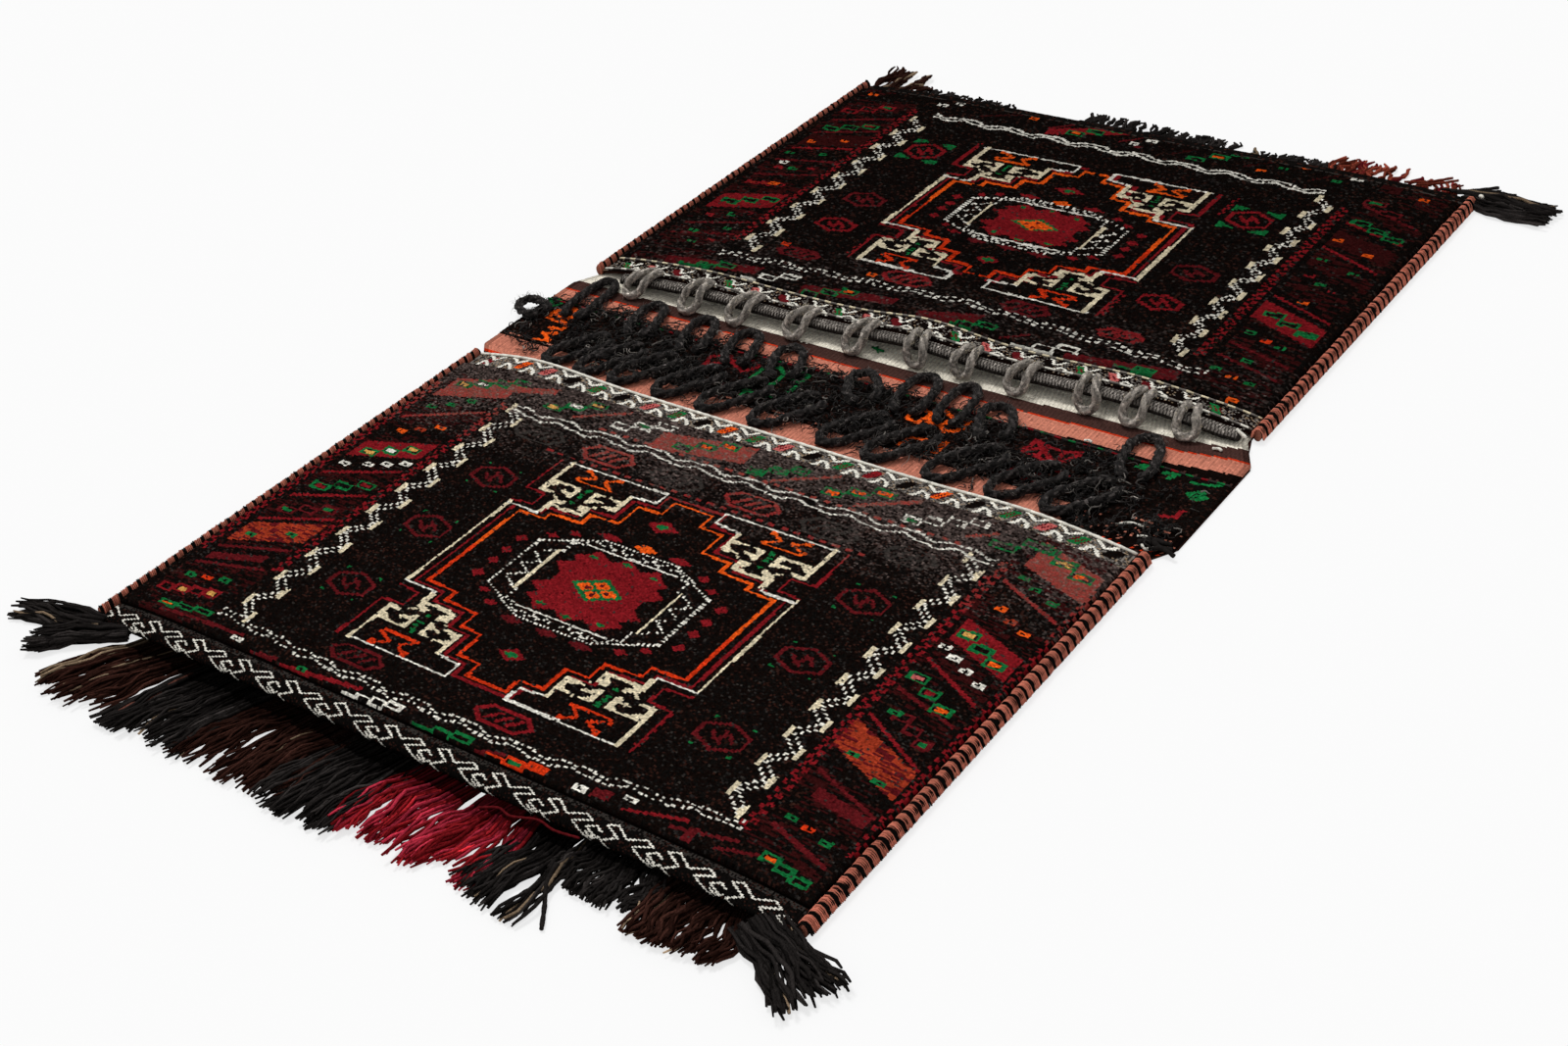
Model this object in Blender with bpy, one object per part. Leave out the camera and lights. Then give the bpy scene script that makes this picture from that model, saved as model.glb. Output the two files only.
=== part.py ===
"""A double saddle bag lying flat on a floor.

One long woven strip is folded over at both ends into two pouches, whose mouths face each other across
the bridge between them. The sides are overcast with wool cord, the far mouth has a rolled band with
closure loops, the bridge has a raised panel with heavier loops, and both folds carry a yarn fringe.
+Y runs from the near pouch to the far one, and the origin is under the middle of the bridge's panel.
"""

import math

import bmesh
import bpy
import numpy as np

# The woven strip, in metres
POUCH_WIDTH = 0.620       # across both side bindings
BRIDGE_SPREAD = 0.008     # the strip is this much wider at each side where no seam draws it in
NEAR_POUCH = 0.3985       # from fold to mouth
FAR_POUCH = 0.4115
NEAR_BARE = 0.038         # flat-woven stripes between the panel and the near mouth
FAR_BARE = 0.056
FLARE_LENGTH = 0.030      # over which the strip spreads, past each mouth
BACK = 0.0025             # thickness of the flat-woven back
FACE_WEAVE = 0.003        # thickness of the faces' flat-woven bands
PILE = 0.004              # height of the knotted pile above those bands
MOUTH_BAND = 0.021
BOTTOM_BAND = 0.019
PANEL_WIDTH = 0.067       # along Y
PANEL_RISE = 0.0015
STEP = 0.0015             # length of the slope at the edge of the pile or the panel
PANEL_SLOPE = 0.010       # over which a cord comes down off the panel
POUCH_GAP = 0.0065        # between face and back, inside a pouch
SEAM_GAP = 0.0015         # the same at the sewn sides
SIDE_POWER = 8            # how late the face comes down to its sewn sides
FOLD_REACH = 0.009        # length of the rounded fold along Y

# Sewn-on pieces
SIDE_CORD = 0.008         # width of a side binding
SIDE_CORD_RISE = 0.0010   # it stands this far above the face's edge
# Its section, from the strip outwards: share of its width, share of its height
SIDE_CORD_SECTION = [(0.0, 0.0), (0.0, 1.0), (0.72, 0.97), (1.0, 0.35)]
STITCH_PITCH = 0.0085     # one light and one dark stitch
STITCH_GROOVE = 0.0009
BINDING_SHORT = 0.004     # a binding stops this far short of the fold
ROLL_WIDTH = 0.014        # rolled band along the far mouth
ROLL_HEIGHT = 0.009
ROLL_DROP = 0.0005        # its centre lies this far below the face's underside
ROLL_LEFT_SHORT = 0.030   # it ends this far in from the strip's left side
ROLL_RIGHT_SHORT = 0.006
GREY_CORD = 0.007         # closure loops of the far mouth
BLACK_CORD = 0.0075       # loops of the panel
ROOT_GAP = 0.00275        # from the root of a panel loop to the panel's middle line
CLEAR = 0.0003            # between pieces that touch

# How many faces
ACROSS = 16
TOP_SPACING = 0.030
FOLD_STEPS = 6
ROLL_STATIONS = 22
ROLL_SIDES = 10
CORD_SIDES = 2            # bevel resolution of every cord
GREY_SPACING = 0.85       # between a cord's points, in diameters
BLACK_SPACING = 1.1
CURVE_STEPS = 12          # steps of a smooth curve between two of the points that it is drawn through
SHARP_EDGE = 40           # degrees above which an edge is not shaded smooth
TUFT_TURN = FOLD_STEPS // 2 + 1   # a fringe is tucked under its fold to this step of the fold's turn

HALF_STRIP = POUCH_WIDTH / 2 - SIDE_CORD - CLEAR
HALF_BRIDGE = POUCH_WIDTH / 2 + BRIDGE_SPREAD
NEAR_MOUTH = -(PANEL_WIDTH / 2 + NEAR_BARE)
FAR_MOUTH = PANEL_WIDTH / 2 + FAR_BARE

# Places across the strip, in the tables below, are shares of half its width, from -1 to 1.

# Soft swellings of each face: place across, distance from the mouth, rise, reach in X, reach in Y
NEAR_SWELLS = [
    (-0.7789, 0.005, 0.0050, 0.060, 0.030),
    (0.7126, 0.010, 0.0030, 0.050, 0.035),
    (-0.2652, 0.130, 0.0020, 0.110, 0.070),
    (0.4972, 0.220, 0.0025, 0.090, 0.090),
    (-0.5635, 0.290, 0.0020, 0.080, 0.060),
]
FAR_SWELLS = [
    (0.0663, 0.035, 0.0080, 0.050, 0.045),
    (-0.6298, 0.020, 0.0020, 0.050, 0.040),
    (0.6629, 0.015, 0.0030, 0.050, 0.035),
    (-0.3977, 0.190, 0.0020, 0.110, 0.080),
    (0.3646, 0.280, 0.0025, 0.090, 0.070),
]
NEAR_LIFT = 0.0020        # the mouths stand open by this much more
FAR_LIFT = 0.0040
LIFT_REACH = 0.060
FAR_SKEW = 0.013          # how far the far mouth's right end lies further along +Y than its left
SKEW_REACH = 0.060

# Closure loops of the far mouth: places across of root and tip, reach of the tip's middle past the roll
GREY_LOOPS = [
    (-0.7842, -0.8485, 0.0102),
    (-0.6086, -0.6397, 0.0129),
    (-0.4332, -0.4853, 0.0105),
    (-0.2516, -0.2933, 0.0101),
    (-0.0630, -0.1028, 0.0098),
    (0.0878, 0.0994, 0.0068),
    (0.2459, 0.2304, 0.0043),
    (0.4140, 0.3888, 0.0088),
    (0.5771, 0.5999, 0.0089),
    (0.7319, 0.7159, 0.0108),
    (0.8479, 0.8651, 0.0106),
]
GREY_HALF_WIDTH = 0.0075
GREY_ROOT_INSET = 0.002   # their roots lie this far in from the mouth's edge
GREY_SAG = 0.35           # height left halfway between the roll and the tip, as a share
# A closure loop's outline from root to tip: share of its length, share of its half width
GREY_OUTLINE = [(0.0, 0.50), (0.3, 0.65), (0.6, 0.95), (0.8, 1.0), (0.9, 0.86), (0.97, 0.52)]
OVER_ROLL = (75, 105, 135, 160, 180)   # where they pass over the roll, in degrees round it from +Y

# Loops of the panel: place across of the tip, reach past the panel's edge, half width, lean of the root
NEAR_LOOPS = [
    (-0.8220, 0.0215, 0.0100, 0.032),
    (-0.7060, 0.0225, 0.0100, 0.032),
    (-0.5900, 0.0215, 0.0100, 0.032),
    (-0.4441, 0.0205, 0.0105, 0.034),
    (-0.2950, 0.0220, 0.0110, 0.034),
    (-0.1293, 0.0210, 0.0115, 0.034),
    (0.0795, 0.0190, 0.0110, 0.034),
    (0.2188, 0.0215, 0.0110, 0.034),
    (0.3977, 0.0220, 0.0120, 0.038),
    (0.5701, 0.0205, 0.0115, 0.034),
    (0.7159, 0.0190, 0.0110, 0.034),
]
FAR_LOOPS = [
    (-0.9347, 0.0385, 0.0105, 0.008),
    (-0.7209, 0.0235, 0.0105, 0.014),
    (-0.5436, 0.0225, 0.0105, 0.016),
    (-0.3911, 0.0215, 0.0105, 0.016),
    (-0.2403, 0.0155, 0.0115, 0.018),
    (0.0000, 0.0060, 0.0115, 0.024),
    (0.1657, 0.0270, 0.0120, 0.010),
    (0.2867, 0.0285, 0.0100, 0.010),
    (0.3994, 0.0125, 0.0125, 0.018),
    (0.7938, 0.0255, 0.0120, 0.014),
]
# The side loop's root and tip, from the bridge's left edge and the panel's middle line
SIDE_LOOP_ROOT = (0.0180, 0.001)
SIDE_LOOP_TIP = (-0.0110, 0.010)
SIDE_LOOP_HALF_WIDTH = 0.0100
# A panel loop's outline, the same way: its root is nearly as round as its tip
BLACK_OUTLINE = [(0.0, 0.40), (0.07, 0.78), (0.22, 1.0), (0.6, 1.0), (0.82, 0.86), (0.95, 0.50)]

# Near fringe: name, left and right side, length, thickness, colour
NEAR_FRINGE = [
    ("near_fringe_brown_left", -0.8750, -0.6596, 0.068, 0.009, "brown_yarn"),
    ("near_fringe_black_left", -0.6563, -0.4226, 0.068, 0.009, "black_yarn"),
    ("near_fringe_brown_middle", -0.4193, -0.1624, 0.066, 0.008, "brown_yarn"),
    ("near_fringe_black_middle", -0.1591, 0.0381, 0.070, 0.009, "black_yarn"),
    ("near_fringe_crimson", 0.0414, 0.2735, 0.066, 0.009, "crimson_yarn"),
    ("near_fringe_crimson_loose", 0.2768, 0.3762, 0.062, 0.005, "crimson_yarn"),
    ("near_fringe_black_knotted", 0.3795, 0.4972, 0.066, 0.007, "black_yarn"),
    ("near_fringe_black_short", 0.5005, 0.7126, 0.034, 0.007, "black_yarn"),
    ("near_fringe_brown_right", 0.7159, 0.8949, 0.042, 0.009, "brown_yarn"),
]
# Corner tufts: name, side, root, tip, width, thickness, colour; places are from the strip's corner
NEAR_CORNER_TUFTS = [
    ("near_tuft_left_outer", -1, (-0.0047, -0.0021), (0.0698, -0.0210), 0.017, 0.009, "black_yarn"),
    ("near_tuft_left_inner", -1, (-0.0317, -0.0011), (0.0273, -0.0440), 0.018, 0.009, "black_yarn"),
    ("near_tuft_right", 1, (-0.0247, -0.0017), (0.0403, -0.0330), 0.022, 0.010, "black_yarn"),
]
FAR_CORNER_TUFTS = [
    ("far_tuft_black_corner", 1, (-0.0057, 0.0048), (0.0753, -0.0140), 0.030, 0.008, "black_yarn"),
]
# Along a corner tuft: share of its length, of its thickness, of its bundles' spacing, of its width
CORNER_STATIONS = [
    (0.0, 0.50, 1.00, 0.20),
    (0.2, 0.70, 0.98, 0.26),
    (0.45, 1.00, 0.92, 0.80),
    (0.75, 0.85, 0.85, 0.91),
    (1.0, 0.35, 0.50, 1.00),
]
# Far fringe: name, left and right side, length, thickness, colour
FAR_FRINGE = [
    ("far_tuft_brown_corner", -1.0209, -0.8485, 0.042, 0.006, "brown_yarn"),
    ("far_tuft_stubs_left", -0.8286, -0.4972, 0.018, 0.003, "black_yarn"),
    ("far_tuft_black_left", -0.2519, 0.0033, 0.028, 0.004, "black_yarn"),
    ("far_tuft_black_middle", 0.0265, 0.2585, 0.024, 0.004, "black_yarn"),
    ("far_tuft_black_right", 0.3116, 0.5701, 0.020, 0.003, "black_yarn"),
    ("far_tuft_rust", 0.5734, 0.7723, 0.034, 0.004, "rust_yarn"),
    ("far_tuft_rust_corner", 0.8021, 0.9446, 0.024, 0.003, "rust_yarn"),
]
# Along a fringe, past its root: share of its length, of its thickness, of its bundles' spacing
FRINGE_STATIONS = [(0.5, 1.0, 0.86), (1.0, 0.3, 0.45)]
ROOT_RISE = 0.75          # height of a fringe where it leaves its fold, as a share of its thickness
ROOT_FULLNESS = 0.98      # width of its bundles there, as a share of their spacing
TUFT_RAG = 0.14           # how uneven a fringe's end is, as a share of its length
TUFT_EDGE = 0.45          # height of a bundle's edges, as a share of its middle's
TUFT_SWAY = 0.0050        # how far a bundle's end swings sideways
SWAY_WAVE = 0.095         # length of that swing's wave along the fold
RAG_TURN = 2.4            # how far the rag's wave turns from one bundle to the next, in radians
NEAR_BUNDLE = 0.0100      # width of one bundle of yarn
FAR_BUNDLE = 0.0125
CORNER_BUNDLES = 3
SWAY_INSET = 4            # a fringe's own sides don't swing, and all of it does this share in from them

# A knotted white thread at the right end of the near mouth
TIE_PLACE = (0.018, 0.0195)   # in from the bridge's right edge, out from the near mouth
TIE_SIZE = 0.012
TIE_THREAD = 0.0022
TIE_ROUTE = [(-1.0, 0.2), (-0.5, 0.35), (0.0, 0.1), (0.35, -0.35), (0.0, -0.7), (-0.4, -0.4)]

COLOURS = {
    "strip": ((0.050, 0.030, 0.026), 0.95),
    "side_cord": ((0.420, 0.180, 0.150), 0.90),
    "roll": ((0.130, 0.120, 0.112), 0.92),
    "grey_cord": ((0.150, 0.138, 0.128), 0.92),
    "black_cord": ((0.022, 0.019, 0.018), 0.95),
    "black_yarn": ((0.020, 0.018, 0.018), 0.95),
    "brown_yarn": ((0.050, 0.022, 0.020), 0.95),
    "crimson_yarn": ((0.380, 0.035, 0.065), 0.92),
    "rust_yarn": ((0.230, 0.060, 0.030), 0.92),
    "white_thread": ((0.780, 0.740, 0.640), 0.90),
}


def clear_scene():
    """Removes whatever the file held."""
    for thing in list(bpy.data.objects):
        bpy.data.objects.remove(thing, do_unlink=True)


def finish_of(name):
    """The material of that name, made the first time it is asked for."""
    if name in bpy.data.materials:
        return bpy.data.materials[name]
    colour, roughness = COLOURS[name]
    made = bpy.data.materials.new(name)
    made.use_nodes = True
    shader = made.node_tree.nodes["Principled BSDF"]
    shader.inputs["Base Color"].default_value = (*colour, 1.0)
    shader.inputs["Roughness"].default_value = roughness
    shader.inputs["Metallic"].default_value = 0.0
    made.diffuse_color = (*colour, 1.0)
    return made


def add_object(name, data, finish, parts):
    """Puts a mesh or curve into the parts collection under its node's name."""
    data.materials.append(finish_of(finish))
    parts.objects.link(bpy.data.objects.new(name, data))


def mesh_of(name, points, faces):
    """A mesh with its faces turned outwards."""
    mesh = bpy.data.meshes.new(name)
    mesh.from_pydata([tuple(p) for p in points], [], faces)
    work = bmesh.new()
    work.from_mesh(mesh)
    bmesh.ops.recalc_face_normals(work, faces=work.faces)
    work.to_mesh(mesh)
    work.free()
    mesh.set_sharp_from_angle(angle=math.radians(SHARP_EDGE))
    return mesh


def slab(name, upper, lower):
    """A closed solid between two grids of points of the same size, such as the two sides of a cloth."""
    rows, columns = upper.shape[:2]
    points = np.concatenate([upper.reshape(-1, 3), lower.reshape(-1, 3)])
    base = rows * columns
    faces = []
    for i in range(rows - 1):
        for j in range(columns - 1):
            a, b = i * columns + j, (i + 1) * columns + j
            faces.append((a, b, b + 1, a + 1))
            faces.append((base + a, base + a + 1, base + b + 1, base + b))
        left, right = i * columns, i * columns + columns - 1
        faces.append((left, base + left, base + left + columns, left + columns))
        faces.append((right, right + columns, base + right + columns, base + right))
    last = (rows - 1) * columns
    for j in range(columns - 1):
        faces.append((j, j + 1, base + j + 1, base + j))
        faces.append((last + j, base + last + j, base + last + j + 1, last + j + 1))
    return mesh_of(name, points, faces)


def tube(name, rings):
    """A closed solid through rings of points, with a flat cap at each end."""
    count, sides = rings.shape[:2]
    faces = [tuple(range(sides)), tuple((count - 1) * sides + k for k in range(sides))]
    for i in range(count - 1):
        for k in range(sides):
            a, b = i * sides + k, i * sides + (k + 1) % sides
            faces.append((a, b, b + sides, a + sides))
    return mesh_of(name, rings.reshape(-1, 3), faces)


def eased(t):
    """A smooth step from 0 to 1."""
    t = np.clip(t, 0.0, 1.0)
    return t * t * (3 - 2 * t)


class Pouch:
    """One folded-over end of the strip; direction is -1 for the near pouch and 1 for the far one."""

    def __init__(self, direction, mouth, length, lift, swells, skew=0.0):
        self.direction = direction
        self.mouth = mouth
        self.length = length
        self.lift = lift
        self.skew = skew
        self.swells = swells
        self.end = mouth + direction * length

    def y(self, x, distance):
        """Y at a distance from the mouth; the mouth itself may lie slantwise."""
        slant = self.skew * x / POUCH_WIDTH * eased(1 - distance / SKEW_REACH)
        return self.mouth + self.direction * distance + slant

    def underside(self, x, distance):
        """Height of the face's inner side above the floor."""
        open_here = POUCH_GAP - SEAM_GAP + self.lift * eased(1 - distance / LIFT_REACH)
        for cx, cd, rise, reach_x, reach_y in self.swells:
            away = ((x - cx * HALF_STRIP) / reach_x) ** 2 + ((distance - cd) / reach_y) ** 2
            open_here = open_here + rise * np.exp(-away)
        crown = 1 - np.abs(x / HALF_STRIP) ** SIDE_POWER
        return BACK + SEAM_GAP + np.maximum(crown, 0.0) * open_here

    def fold_height(self, x):
        """Height of the fold where it reaches furthest out, which is half that of its top."""
        return (self.underside(x, self.length - FOLD_REACH) + FACE_WEAVE) / 2


def pouches():
    """Both pouches, near and far."""
    near = Pouch(-1, NEAR_MOUTH, NEAR_POUCH, NEAR_LIFT, NEAR_SWELLS)
    far = Pouch(1, FAR_MOUTH, FAR_POUCH, FAR_LIFT, FAR_SWELLS, FAR_SKEW)
    return near, far


def face_stations(pouch):
    """Distances from the mouth with the face's thickness there, down to where the fold starts."""
    pile_start = MOUTH_BAND + STEP
    pile_end = pouch.length - BOTTOM_BAND - STEP
    count = max(2, round((pile_end - pile_start) / TOP_SPACING))
    stations = [(0.0, FACE_WEAVE), (MOUTH_BAND, FACE_WEAVE)]
    stations += [(d, FACE_WEAVE + PILE) for d in np.linspace(pile_start, pile_end, count + 1)]
    stations += [(pouch.length - BOTTOM_BAND, FACE_WEAVE), (pouch.length - FOLD_REACH, FACE_WEAVE)]
    return stations


def face_rows(pouch, x):
    """Rows of outer and inner points of a pouch's face and its fold, from the mouth to the back."""
    rows = []
    for distance, thick in face_stations(pouch):
        y = pouch.y(x, distance)
        inner = pouch.underside(x, distance)
        rows.append((np.stack([x, y, inner + thick], 1), np.stack([x, y, inner], 1)))
    inner_top = pouch.underside(x, pouch.length - FOLD_REACH)
    outer_top = inner_top + FACE_WEAVE
    turn_at = pouch.end - pouch.direction * FOLD_REACH
    for k in range(1, FOLD_STEPS):
        turn = math.pi * k / FOLD_STEPS
        y_out = np.full_like(x, turn_at + pouch.direction * FOLD_REACH * math.sin(turn))
        y_in = np.full_like(x, turn_at + pouch.direction * (FOLD_REACH - FACE_WEAVE) * math.sin(turn))
        z_out = outer_top / 2 * (1 + math.cos(turn))
        z_in = (inner_top + BACK) / 2 + (inner_top - BACK) / 2 * math.cos(turn)
        rows.append((np.stack([x, y_out, z_out], 1), np.stack([x, y_in, z_in], 1)))
    return rows


def back_rows(near, far, share):
    """Rows of the back, flat on the floor, with the bridge's raised panel on its upper side."""
    half_panel = PANEL_WIDTH / 2
    pouch_x, bridge_x = share * HALF_STRIP, share * HALF_BRIDGE
    near_mouth, far_mouth = near.y(pouch_x, 0.0), far.y(pouch_x, 0.0)
    stations = [
        (pouch_x, near.end + FOLD_REACH, BACK),
        (pouch_x, near.end + near.length / 2, BACK),
        (pouch_x, near_mouth, BACK),
        (bridge_x, near_mouth + min(FLARE_LENGTH, NEAR_BARE / 2), BACK),
        (bridge_x, -half_panel - STEP, BACK),
        (bridge_x, -half_panel, BACK + PANEL_RISE),
        (bridge_x, 0.0, BACK + PANEL_RISE),
        (bridge_x, half_panel, BACK + PANEL_RISE),
        (bridge_x, half_panel + STEP, BACK),
        (bridge_x, far_mouth - min(FLARE_LENGTH, FAR_BARE / 2), BACK),
        (pouch_x, far_mouth, BACK),
        (pouch_x, far.end - far.length / 2, BACK),
        (pouch_x, far.end - FOLD_REACH, BACK),
    ]
    rows = []
    for x, y, thick in stations:
        flat, floor = y + np.zeros_like(x), np.zeros_like(x)
        rows.append((np.stack([x, flat, floor], 1), np.stack([x, flat, floor + thick], 1)))
    return rows


def build_strip(near, far, parts):
    """The whole woven strip: near face, fold, back and bridge, fold, far face."""
    share = np.sin(np.linspace(-math.pi / 2, math.pi / 2, ACROSS + 1))
    x = share * HALF_STRIP
    rows = face_rows(near, x) + back_rows(near, far, share) + face_rows(far, x)[::-1]
    outer = np.stack([row[0] for row in rows])
    inner = np.stack([row[1] for row in rows])
    add_object("woven_strip", slab("woven_strip", outer, inner), "strip", parts)


def build_side_binding(name, pouch, side, parts):
    """Overcast wool cord along one sewn side, a ridge for each pair of stitches."""
    edge_top = BACK + SEAM_GAP + FACE_WEAVE + PILE
    high = edge_top + SIDE_CORD_RISE - CLEAR
    inner_x = POUCH_WIDTH / 2 - SIDE_CORD
    start = pouch.y(side * inner_x, 0.0)
    end = pouch.end - pouch.direction * BINDING_SHORT
    stitches = max(3, round(abs(end - start) / STITCH_PITCH))
    rings = []
    for k in range(2 * stitches + 1):
        y = start + (end - start) * k / (2 * stitches)
        groove = STITCH_GROOVE if k % 2 == 0 else 0.0
        wide, tall = SIDE_CORD - groove, high - groove
        rings.append([(side * (inner_x + u * wide), y, CLEAR + v * tall) for u, v in SIDE_CORD_SECTION])
    add_object(name, tube(name, np.array(rings)), "side_cord", parts)


def roll_centre(far, x):
    """Y and height of the middle of the far mouth's rolled band, which rests on the back at its ends."""
    y = far.y(x, 0.0) - CLEAR - ROLL_WIDTH / 2
    return y, max(far.underside(x, 0.0) - ROLL_DROP, BACK + CLEAR + ROLL_HEIGHT / 2)


def build_mouth_roll(far, parts):
    """The rolled band sewn along the far mouth."""
    rings = []
    for x in np.linspace(ROLL_LEFT_SHORT - HALF_STRIP, HALF_STRIP - ROLL_RIGHT_SHORT, ROLL_STATIONS):
        y, z = roll_centre(far, x)
        ring = []
        for k in range(ROLL_SIDES):
            turn = 2 * math.pi * k / ROLL_SIDES
            ring.append((x, y + ROLL_WIDTH / 2 * math.cos(turn), z + ROLL_HEIGHT / 2 * math.sin(turn)))
        rings.append(ring)
    add_object("far_mouth_roll", tube("far_mouth_roll", np.array(rings)), "roll", parts)


def through(points, spacing):
    """Points evenly spaced along the smooth curve through the given ones."""
    points = np.array(points, float)
    first, last = 2 * points[0] - points[1], 2 * points[-1] - points[-2]
    padded = np.concatenate([[first], points, [last]])
    fine = []
    for i in range(1, len(padded) - 2):
        a, b, c, d = padded[i - 1:i + 3]
        for t in np.linspace(0, 1, CURVE_STEPS, endpoint=False):
            bend = (2 * a - 5 * b + 4 * c - d) * t * t + (3 * b - a - 3 * c + d) * t ** 3
            fine.append(0.5 * (2 * b + (c - a) * t + bend))
    fine = np.array(fine + [points[-1]])
    along = np.concatenate([[0.0], np.cumsum(np.linalg.norm(np.diff(fine, axis=0), axis=1))])
    at = np.linspace(0.0, along[-1], max(6, round(along[-1] / spacing) + 1))
    return np.stack([np.interp(at, along, fine[:, k]) for k in range(3)], 1)


def loop_route(axis, half_width, outline, spacing):
    """A loop's route: out along one side of its axis, round the tip and back along the other side."""
    along = np.linspace(0, 1, len(axis))

    def on_axis(t):
        return np.array([np.interp(t, along, axis[:, k]) for k in range(3)])

    run = axis[-1] - axis[0]
    sideways = np.array([-run[1], run[0], 0.0]) / math.hypot(run[0], run[1])
    out = [on_axis(t) + sideways * w * half_width for t, w in outline]
    back = [on_axis(t) - sideways * w * half_width for t, w in reversed(outline)]
    return through(out + [on_axis(1.0)] + back, spacing)


def build_cord(name, route, diameter, finish, parts):
    """A cord as a plain round tube along its route."""
    curve = bpy.data.curves.new(name, "CURVE")
    curve.dimensions = "3D"
    curve.resolution_u = 1
    curve.bevel_depth = diameter / 2
    curve.bevel_resolution = CORD_SIDES
    curve.use_fill_caps = True
    spline = curve.splines.new("POLY")
    spline.points.add(len(route) - 1)
    for point, place in zip(spline.points, route):
        point.co = (*place, 1.0)
    add_object(name, curve, finish, parts)


def over_the_roll(far, x, reach):
    """The way from the seam over the rolled band and down to the bridge, at one x."""
    lift = GREY_CORD / 2 + CLEAR
    roll_y, roll_z = roll_centre(far, x)
    reach_y, reach_z = ROLL_WIDTH / 2 + lift + 2 * CLEAR, ROLL_HEIGHT / 2 + lift + 2 * CLEAR
    places = [(x, far.y(x, 0.0) + GREY_ROOT_INSET, far.underside(x, 0.0) + FACE_WEAVE + lift + CLEAR)]
    for degrees in OVER_ROLL:
        turn = math.radians(degrees)
        places.append((x, roll_y + reach_y * math.cos(turn), roll_z + reach_z * math.sin(turn)))
    tip_y, rest = roll_y - ROLL_WIDTH / 2 - reach, BACK + lift
    places.append((x, (places[-1][1] + tip_y) / 2, rest + GREY_SAG * (places[-1][2] - rest)))
    places.append((x, tip_y, rest))
    return through(places, GREY_CORD / 4)


def grey_route(far, root_x, tip_x, reach):
    """A closure loop, drawn out flat and then laid over the rolled band."""
    middle = over_the_roll(far, root_x, reach)
    length = np.linalg.norm(np.diff(middle, axis=0), axis=1).sum()
    axis = np.array([(root_x, 0.0, 0.0), (tip_x, length, 0.0)])
    flat = loop_route(axis, GREY_HALF_WIDTH, GREY_OUTLINE, GREY_CORD)
    places = []
    for x, along, _ in flat:
        way = over_the_roll(far, x, reach)
        share = np.linspace(0.0, length, len(way))
        places.append((x, np.interp(along, share, way[:, 1]), np.interp(along, share, way[:, 2])))
    return through(places, GREY_SPACING * GREY_CORD)


def ground(y):
    """Height of the bridge's upper side: the panel is raised, and a cord leaves it gently."""
    past_panel = (np.abs(y) - PANEL_WIDTH / 2 - STEP - BLACK_CORD / 2) / PANEL_SLOPE
    return BACK + PANEL_RISE * (1 - eased(past_panel))


def black_route(root, tip, half_width):
    """A loop across the bridge from root to tip, each point of it resting on what is under it."""
    axis = np.array([(*root, 0.0), (*tip, 0.0)])
    route = loop_route(axis, half_width, BLACK_OUTLINE, BLACK_SPACING * BLACK_CORD)
    route[:, 2] = ground(route[:, 1]) + BLACK_CORD / 2 + CLEAR
    return route


def build_loops(far, parts):
    """All closure loops: grey ones at the far mouth and black ones on the panel."""
    for k, (root, tip, reach) in enumerate(GREY_LOOPS):
        route = grey_route(far, root * HALF_STRIP, tip * HALF_STRIP, reach)
        build_cord(f"grey_loop_{k + 1:02d}", route, GREY_CORD, "grey_cord", parts)
    for row, loops, direction in (("near", NEAR_LOOPS, -1), ("far", FAR_LOOPS, 1)):
        for k, (place, reach, half_width, lean) in enumerate(loops):
            tip_x = place * HALF_STRIP
            tip = (tip_x, direction * (PANEL_WIDTH / 2 + reach))
            root = (tip_x + lean, direction * (ROOT_GAP + BLACK_CORD / 2))
            route = black_route(root, tip, half_width)
            build_cord(f"black_loop_{row}_{k + 1:02d}", route, BLACK_CORD, "black_cord", parts)
    root = (SIDE_LOOP_ROOT[0] - HALF_BRIDGE, SIDE_LOOP_ROOT[1])
    tip = (SIDE_LOOP_TIP[0] - HALF_BRIDGE, SIDE_LOOP_TIP[1])
    route = black_route(root, tip, SIDE_LOOP_HALF_WIDTH)
    build_cord("black_loop_side", route, BLACK_CORD, "black_cord", parts)


def comb(name, bundles, stations, place, finish, parts):
    """A fringe lying on the floor: bundles of yarn that start side by side and end apart.

    Each station is a share of the length, the bundles' height there as a function of x, and their
    width as a share of their spacing. place gives a plan point from the way across, counted in
    bundles, the share of the length and the bundle's number. Bundles are joined up to station 1.
    """
    columns = 3 * bundles
    upper = np.zeros((len(stations), columns, 3))
    for i, (along, height, fullness) in enumerate(stations):
        for j in range(columns):
            bundle, side = j // 3, j % 3 - 1
            x, y = place(bundle + 0.5 + 0.5 * side * fullness, along, bundle)
            share = 1.0 if side == 0 else TUFT_EDGE
            upper[i, j] = (x, y, CLEAR + (height(x) - CLEAR) * share)
    lower = upper.copy()
    lower[:, :, 2] = CLEAR
    kept = np.ones((len(stations) - 1, columns - 1), bool)
    for i in range(1, len(stations) - 1):
        kept[i, 2::3] = False
    add_object(name, pad(name, upper, lower, kept), finish, parts)


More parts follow.
